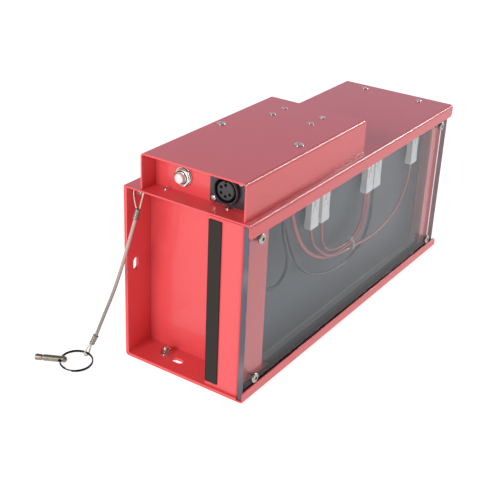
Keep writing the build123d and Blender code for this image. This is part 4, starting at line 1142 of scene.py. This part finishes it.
def makeRedWires():
    p, y, z = plugX, plugY, plugZ
    routes = [
        [(p[0], y, z), (p[0], y, 98), (-56.4, -47, 86), (-41, -51, 73.4), (-20, -51.1, 67.9),
         (4, -51, 65.6), (30, -50.6, 62), (56, -49.2, 60), (80, -47.6, 60.8), (101, -46.4, 66.5),
         (118, -44.6, 76), (p[4], y, 93), (p[4], y, z)],
        [(p[1], y, z), (p[1], y, 98), (-43.4, -45.6, 87), (-37, -47.5, 76.6), (-20, -47.5, 71),
         (2, -47.5, 69.1), (20, -47.5, 74.5), (31.6, -45.8, 85), (36.6, y, 96.5), (36.6, y, z)],
        [(-121, 20, 171), (-110, 20, 171), (-98, 11, 172), (-95.5, -6, 171.6), (-96, -24, 170),
         (-98, -38, 166), (-100.4, -44.6, 156), (-100.2, -45.4, 143), (-97.6, -46.2, 129),
         (-91.6, -47.2, 113), (-80, -47.4, 96.5), (-62.5, -47.4, 82), (-42, -47.4, 71.6),
         (-20, -47.4, 66.6), (3, -47.4, 65.4), (24, -47.4, 71.4), (36.4, -45.6, 83), (41.2, y, 96),
         (41.2, y, z)],
    ]
    for k, (route, size) in enumerate(zip(routes, ("red", "red", "thickRed"))):
        wirePiece("redWire%d" % (k + 1), "red_wires", route, wireLook[size], redWireSkin)


def makeBlackWires():
    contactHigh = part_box("socket_contacts")[1].x / mm
    contacts = sorted(socketContactPlaces(), key=lambda c: c[1])
    upper, lower = [tuple(c / mm for c in contacts[k]) for k in (-1, 0)]
    y, z, fourth, tabX = plugY, plugZ, plugX[3], -60.0
    routes = [
        [(contactHigh, *upper), (-127, *upper), (-115, -36, 173.6), (-109.4, -43, 165), (-108.4, -45, 153),
         (-110.4, -45.8, 141), (-112.6, -46.5, 128), (-109, -47, 113), (-103.6, -47, 101),
         (-102.4, -47, 89), (-107.4, -47, 79.8), (-117.6, -46.6, 75), (-129, -45, 76), (-138.5, -39, 80),
         (-141, -27, 88), (-136, -15, 97), (-123, -9, 106), (-105, -8.5, 113.5), (-86, tabY, 118.6),
         (-69, tabY, 120.6), (tabX, tabY, 115), (tabX, tabY, batteryTop)],
        [(contactHigh, *lower), (-127, *lower), (-117, -35, 165.8), (-109, -39.2, 161), (-107.9, -40, 152),
         (-107, -40.4, 142), (-104.8, -42.6, 129), (-101.6, -45.6, 114), (-96, -46.3, 99),
         (-87, -46.3, 84.6), (-75, -46.3, 72.4), (-58, -46.3, 61.4), (-38, -46.3, 53.6), (-17, -46.3, 49),
         (4, -46.3, 48.4), (24, -46.3, 52.6), (40, -46.3, 62.4), (50, -45, 76), (fourth, y, 92),
         (fourth, y, z)],
    ]
    for k, route in enumerate(routes):
        wirePiece("blackWire%d" % (k + 1), "black_wires", route, wireLook["black"], blackWireSkin)


def makeBatteryLead():
    tabX = 71.0
    route = [(-121, 10, 171), (-112, 10, 171), (-104.6, 0, 170.6), (-102.4, -16, 170.4), (-101.8, -30, 169),
             (-101.8, -38.4, 160.4), (-101, -39.4, 149), (-96, -34, 138.6), (-84, -24, 132.8),
             (-62, -15, 130), (-34, -10, 127), (-4, -8.6, 125), (26, -8.2, 124.6), (50, tabY, 124),
             (66, tabY, 121.6), (tabX, tabY, 114), (tabX, tabY, batteryTop)]
    wirePiece("batteryLead", "battery_lead", route, wireLook["red"], redWireSkin)


plugLook = inMm(front=0.8, inset=0.35, sideInset=0.3, overlap=0.4, shoulder=6.5, foot=2.2, footLong=5,
                ribHalf=1.5, rib=14, slotAt=2.6, slotHalf=0.6, slotLow=20, slotHigh=12, slotDeep=1.1)


# A white plug housing: shoulder, foot, latch rib and two slots.
def makePlug(number):
    look = plugLook
    low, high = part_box("plug_%d" % number)
    front, inset, foot = low.y + look["front"], look["inset"], low.z + look["foot"]
    x, ribHalf, side = (low.x + high.x) / 2, look["ribHalf"], look["sideInset"]
    body = block("plug", (low.x + inset, front + side, foot - look["overlap"]),
                 (high.x - inset, high.y - side, high.z))
    shoulder = block("shoulder", (low.x, front, high.z - look["shoulder"]), high)
    base = block("base", (low.x, front, low.z), (high.x, high.y, foot + look["footLong"]))
    rib = block("rib", (x - ribHalf, low.y, high.z - look["rib"]), (x + ribHalf, front + mm, high.z))
    joined(body, "UNION", [shoulder, base, rib])
    body.data.materials.append(plugWhite)
    reach = look["slotHalf"]
    cut(body, *[block("slot", (middle - reach, low.y - mm, high.z - look["slotLow"]),
                      (middle + reach, front + look["slotDeep"], high.z - look["slotHigh"]))
                for middle in (x - look["slotAt"], x + look["slotAt"])])
    piece = edged(body, 0.3 * mm, 3)
    piece.name = "plug%d" % number
    fixed(piece, "plug_%d" % number)


tieLook = inMm(width=2.5, thickness=0.65, innerY=7.6, innerZ=8.6, corner=1.7, head=2.4, headHalf=2.0,
               headSunk=0.3)


def makeTie():
    look = tieLook
    low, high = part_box("cable_tie")
    middle, wall = (low + high) / 2, look["thickness"]
    top = high.z - look["head"]
    centre = Vector((middle.x - look["width"] / 2, middle.y, (low.z + top) / 2))
    outer = roundedBox(look["innerY"] + 2 * wall, look["innerZ"] + 2 * wall, look["corner"] + wall)
    band = prism("cableTie", outer, centre, yAxis, zAxis, xAxis * look["width"], tieNylon)
    inner = roundedBox(look["innerY"], look["innerZ"], look["corner"])
    cut(band, prism("inside", inner, centre - xAxis * mm, yAxis, zAxis, xAxis * (look["width"] + 2 * mm)))
    x, y, reach = middle.x, middle.y, look["headHalf"]
    joined(band, "UNION", [block("head", (x - reach, y - reach, top - look["headSunk"]),
                                 (x + reach, y + reach, high.z))])
    fixed(edged(band, 0.2 * mm, 2), "cable_tie")


makeRedWires()
makeBlackWires()
makeBatteryLead()
for number in range(1, plugCount + 1):
    makePlug(number)
makeTie()
print("wires and plugs made")


# ---- carried-over nodes ----
carried = dict(window_rivet_nuts=zinc, housing_pillars=zinc, board_standoffs=zinc, socket_nuts=zinc,
               battery_clamps=zinc, floor_screws=zinc, plug_board_spacers=zinc, breaker_blades=brass,
               battery_blades=brass, wire_grommet=rubber, control_board=boardGreen, plug_board=boardGreen,
               board_relay=relayBlue, board_capacitors=canSleeve, board_terminals=terminalGreen,
               plug_headers=plugWhite, battery_case=batteryGrey, charger_module=chargerBlack)
for node, finish in carried.items():
    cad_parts[node].data.materials.clear()
    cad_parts[node].data.materials.append(finish)
print("carried nodes finished")


# ---- floor and light ----
stageLook = dict(floor=(0.50, 0.50, 0.50, 1), floorSpots=(0.47, 0.47, 0.47, 1), glow=0.84, reach=6,
                 low=(0.34, 0.34, 0.36, 1), lowFar=(0.84, 0.84, 0.88, 1), lowSteps=(-0.6, 0.6),
                 front=(0.85, 0.83, 0.80, 1), frontWay=(-0.86, 0.5), frontSteps=(0.3, 0.95),
                 far=(0.62, 0.66, 0.80, 1), farWay=(0.75, 0.5), farSteps=(0.3, 0.95),
                 ceiling=(0.28, 0.28, 0.30, 1), ceilingSteps=(0.50, 0.75))
lamps = dict(bendLight=dict(at=(1.63, -0.78, 1.02), aim=(-0.03, -0.055, 0.17), size=(0.17, 0.9), power=14,
                            onlyShine=True),
             frontLight=dict(at=(-1.95, 0.30, 0.95), aim=(-0.17, 0, 0.08), size=(0.7, 0.8), power=21,
                             onlyShine=False))


# The room is bright in front of the bay, dim between there and the window's side, and dim overhead.
def makeWorld(look):
    f = Finish("studio", bpy.data.worlds, "ShaderNodeOutputWorld")
    way = f.place("Generated")
    x, y, z = (f.node("ShaderNodeSeparateXYZ", None, {0: way}, axis) for axis in "XYZ")
    colour = f.between(f.steps(x, *look["lowSteps"]), look["low"], look["lowFar"])
    for part in ("front", "far"):
        wayX, wayY = look[part + "Way"]
        colour = f.between(f.steps(x * wayX + y * wayY, *look[part + "Steps"]), colour, look[part])
    colour = f.between(f.steps(z, *look["ceilingSteps"]), colour, look["ceiling"])
    sky = f.node("ShaderNodeBackground", None, {"Color": colour, "Strength": 1.0})
    bpy.context.scene.world = f.done(sky)


def makeStage(look):
    f = Finish("paleFloor")
    cloud = f.noise(f.place(), 6, 3)
    floor = f.done(f.solid(Base_Color=f.between(cloud, look["floor"], look["floorSpots"]), Roughness=0.8,
                           Emission_Color=(1, 1, 1, 1), Emission_Strength=look["glow"]))
    bm = bmesh.new()
    bmesh.ops.create_grid(bm, x_segments=8, y_segments=8, size=look["reach"])
    ground = pieceFrom("ground", bm, floor)
    ground.location.z = -0.1 * mm


def makeLamps():
    for name, lamp in lamps.items():
        data = bpy.data.lights.new(name, "AREA")
        data.shape, data.size, data.size_y = "RECTANGLE", *lamp["size"]
        data.energy = lamp["power"]
        light = bpy.data.objects.new(name, data)
        at = Vector(lamp["at"])
        toward = (Vector(lamp["aim"]) - at).to_track_quat("-Z", "Y").to_matrix().to_4x4()
        light.matrix_world = Matrix.Translation(at) @ toward
        light.visible_diffuse = not lamp["onlyShine"]
        bpy.context.scene.collection.objects.link(light)


makeWorld(stageLook)
makeStage(stageLook)
makeLamps()
bpy.context.scene.view_settings.view_transform = "Standard"
print("stage and light made")
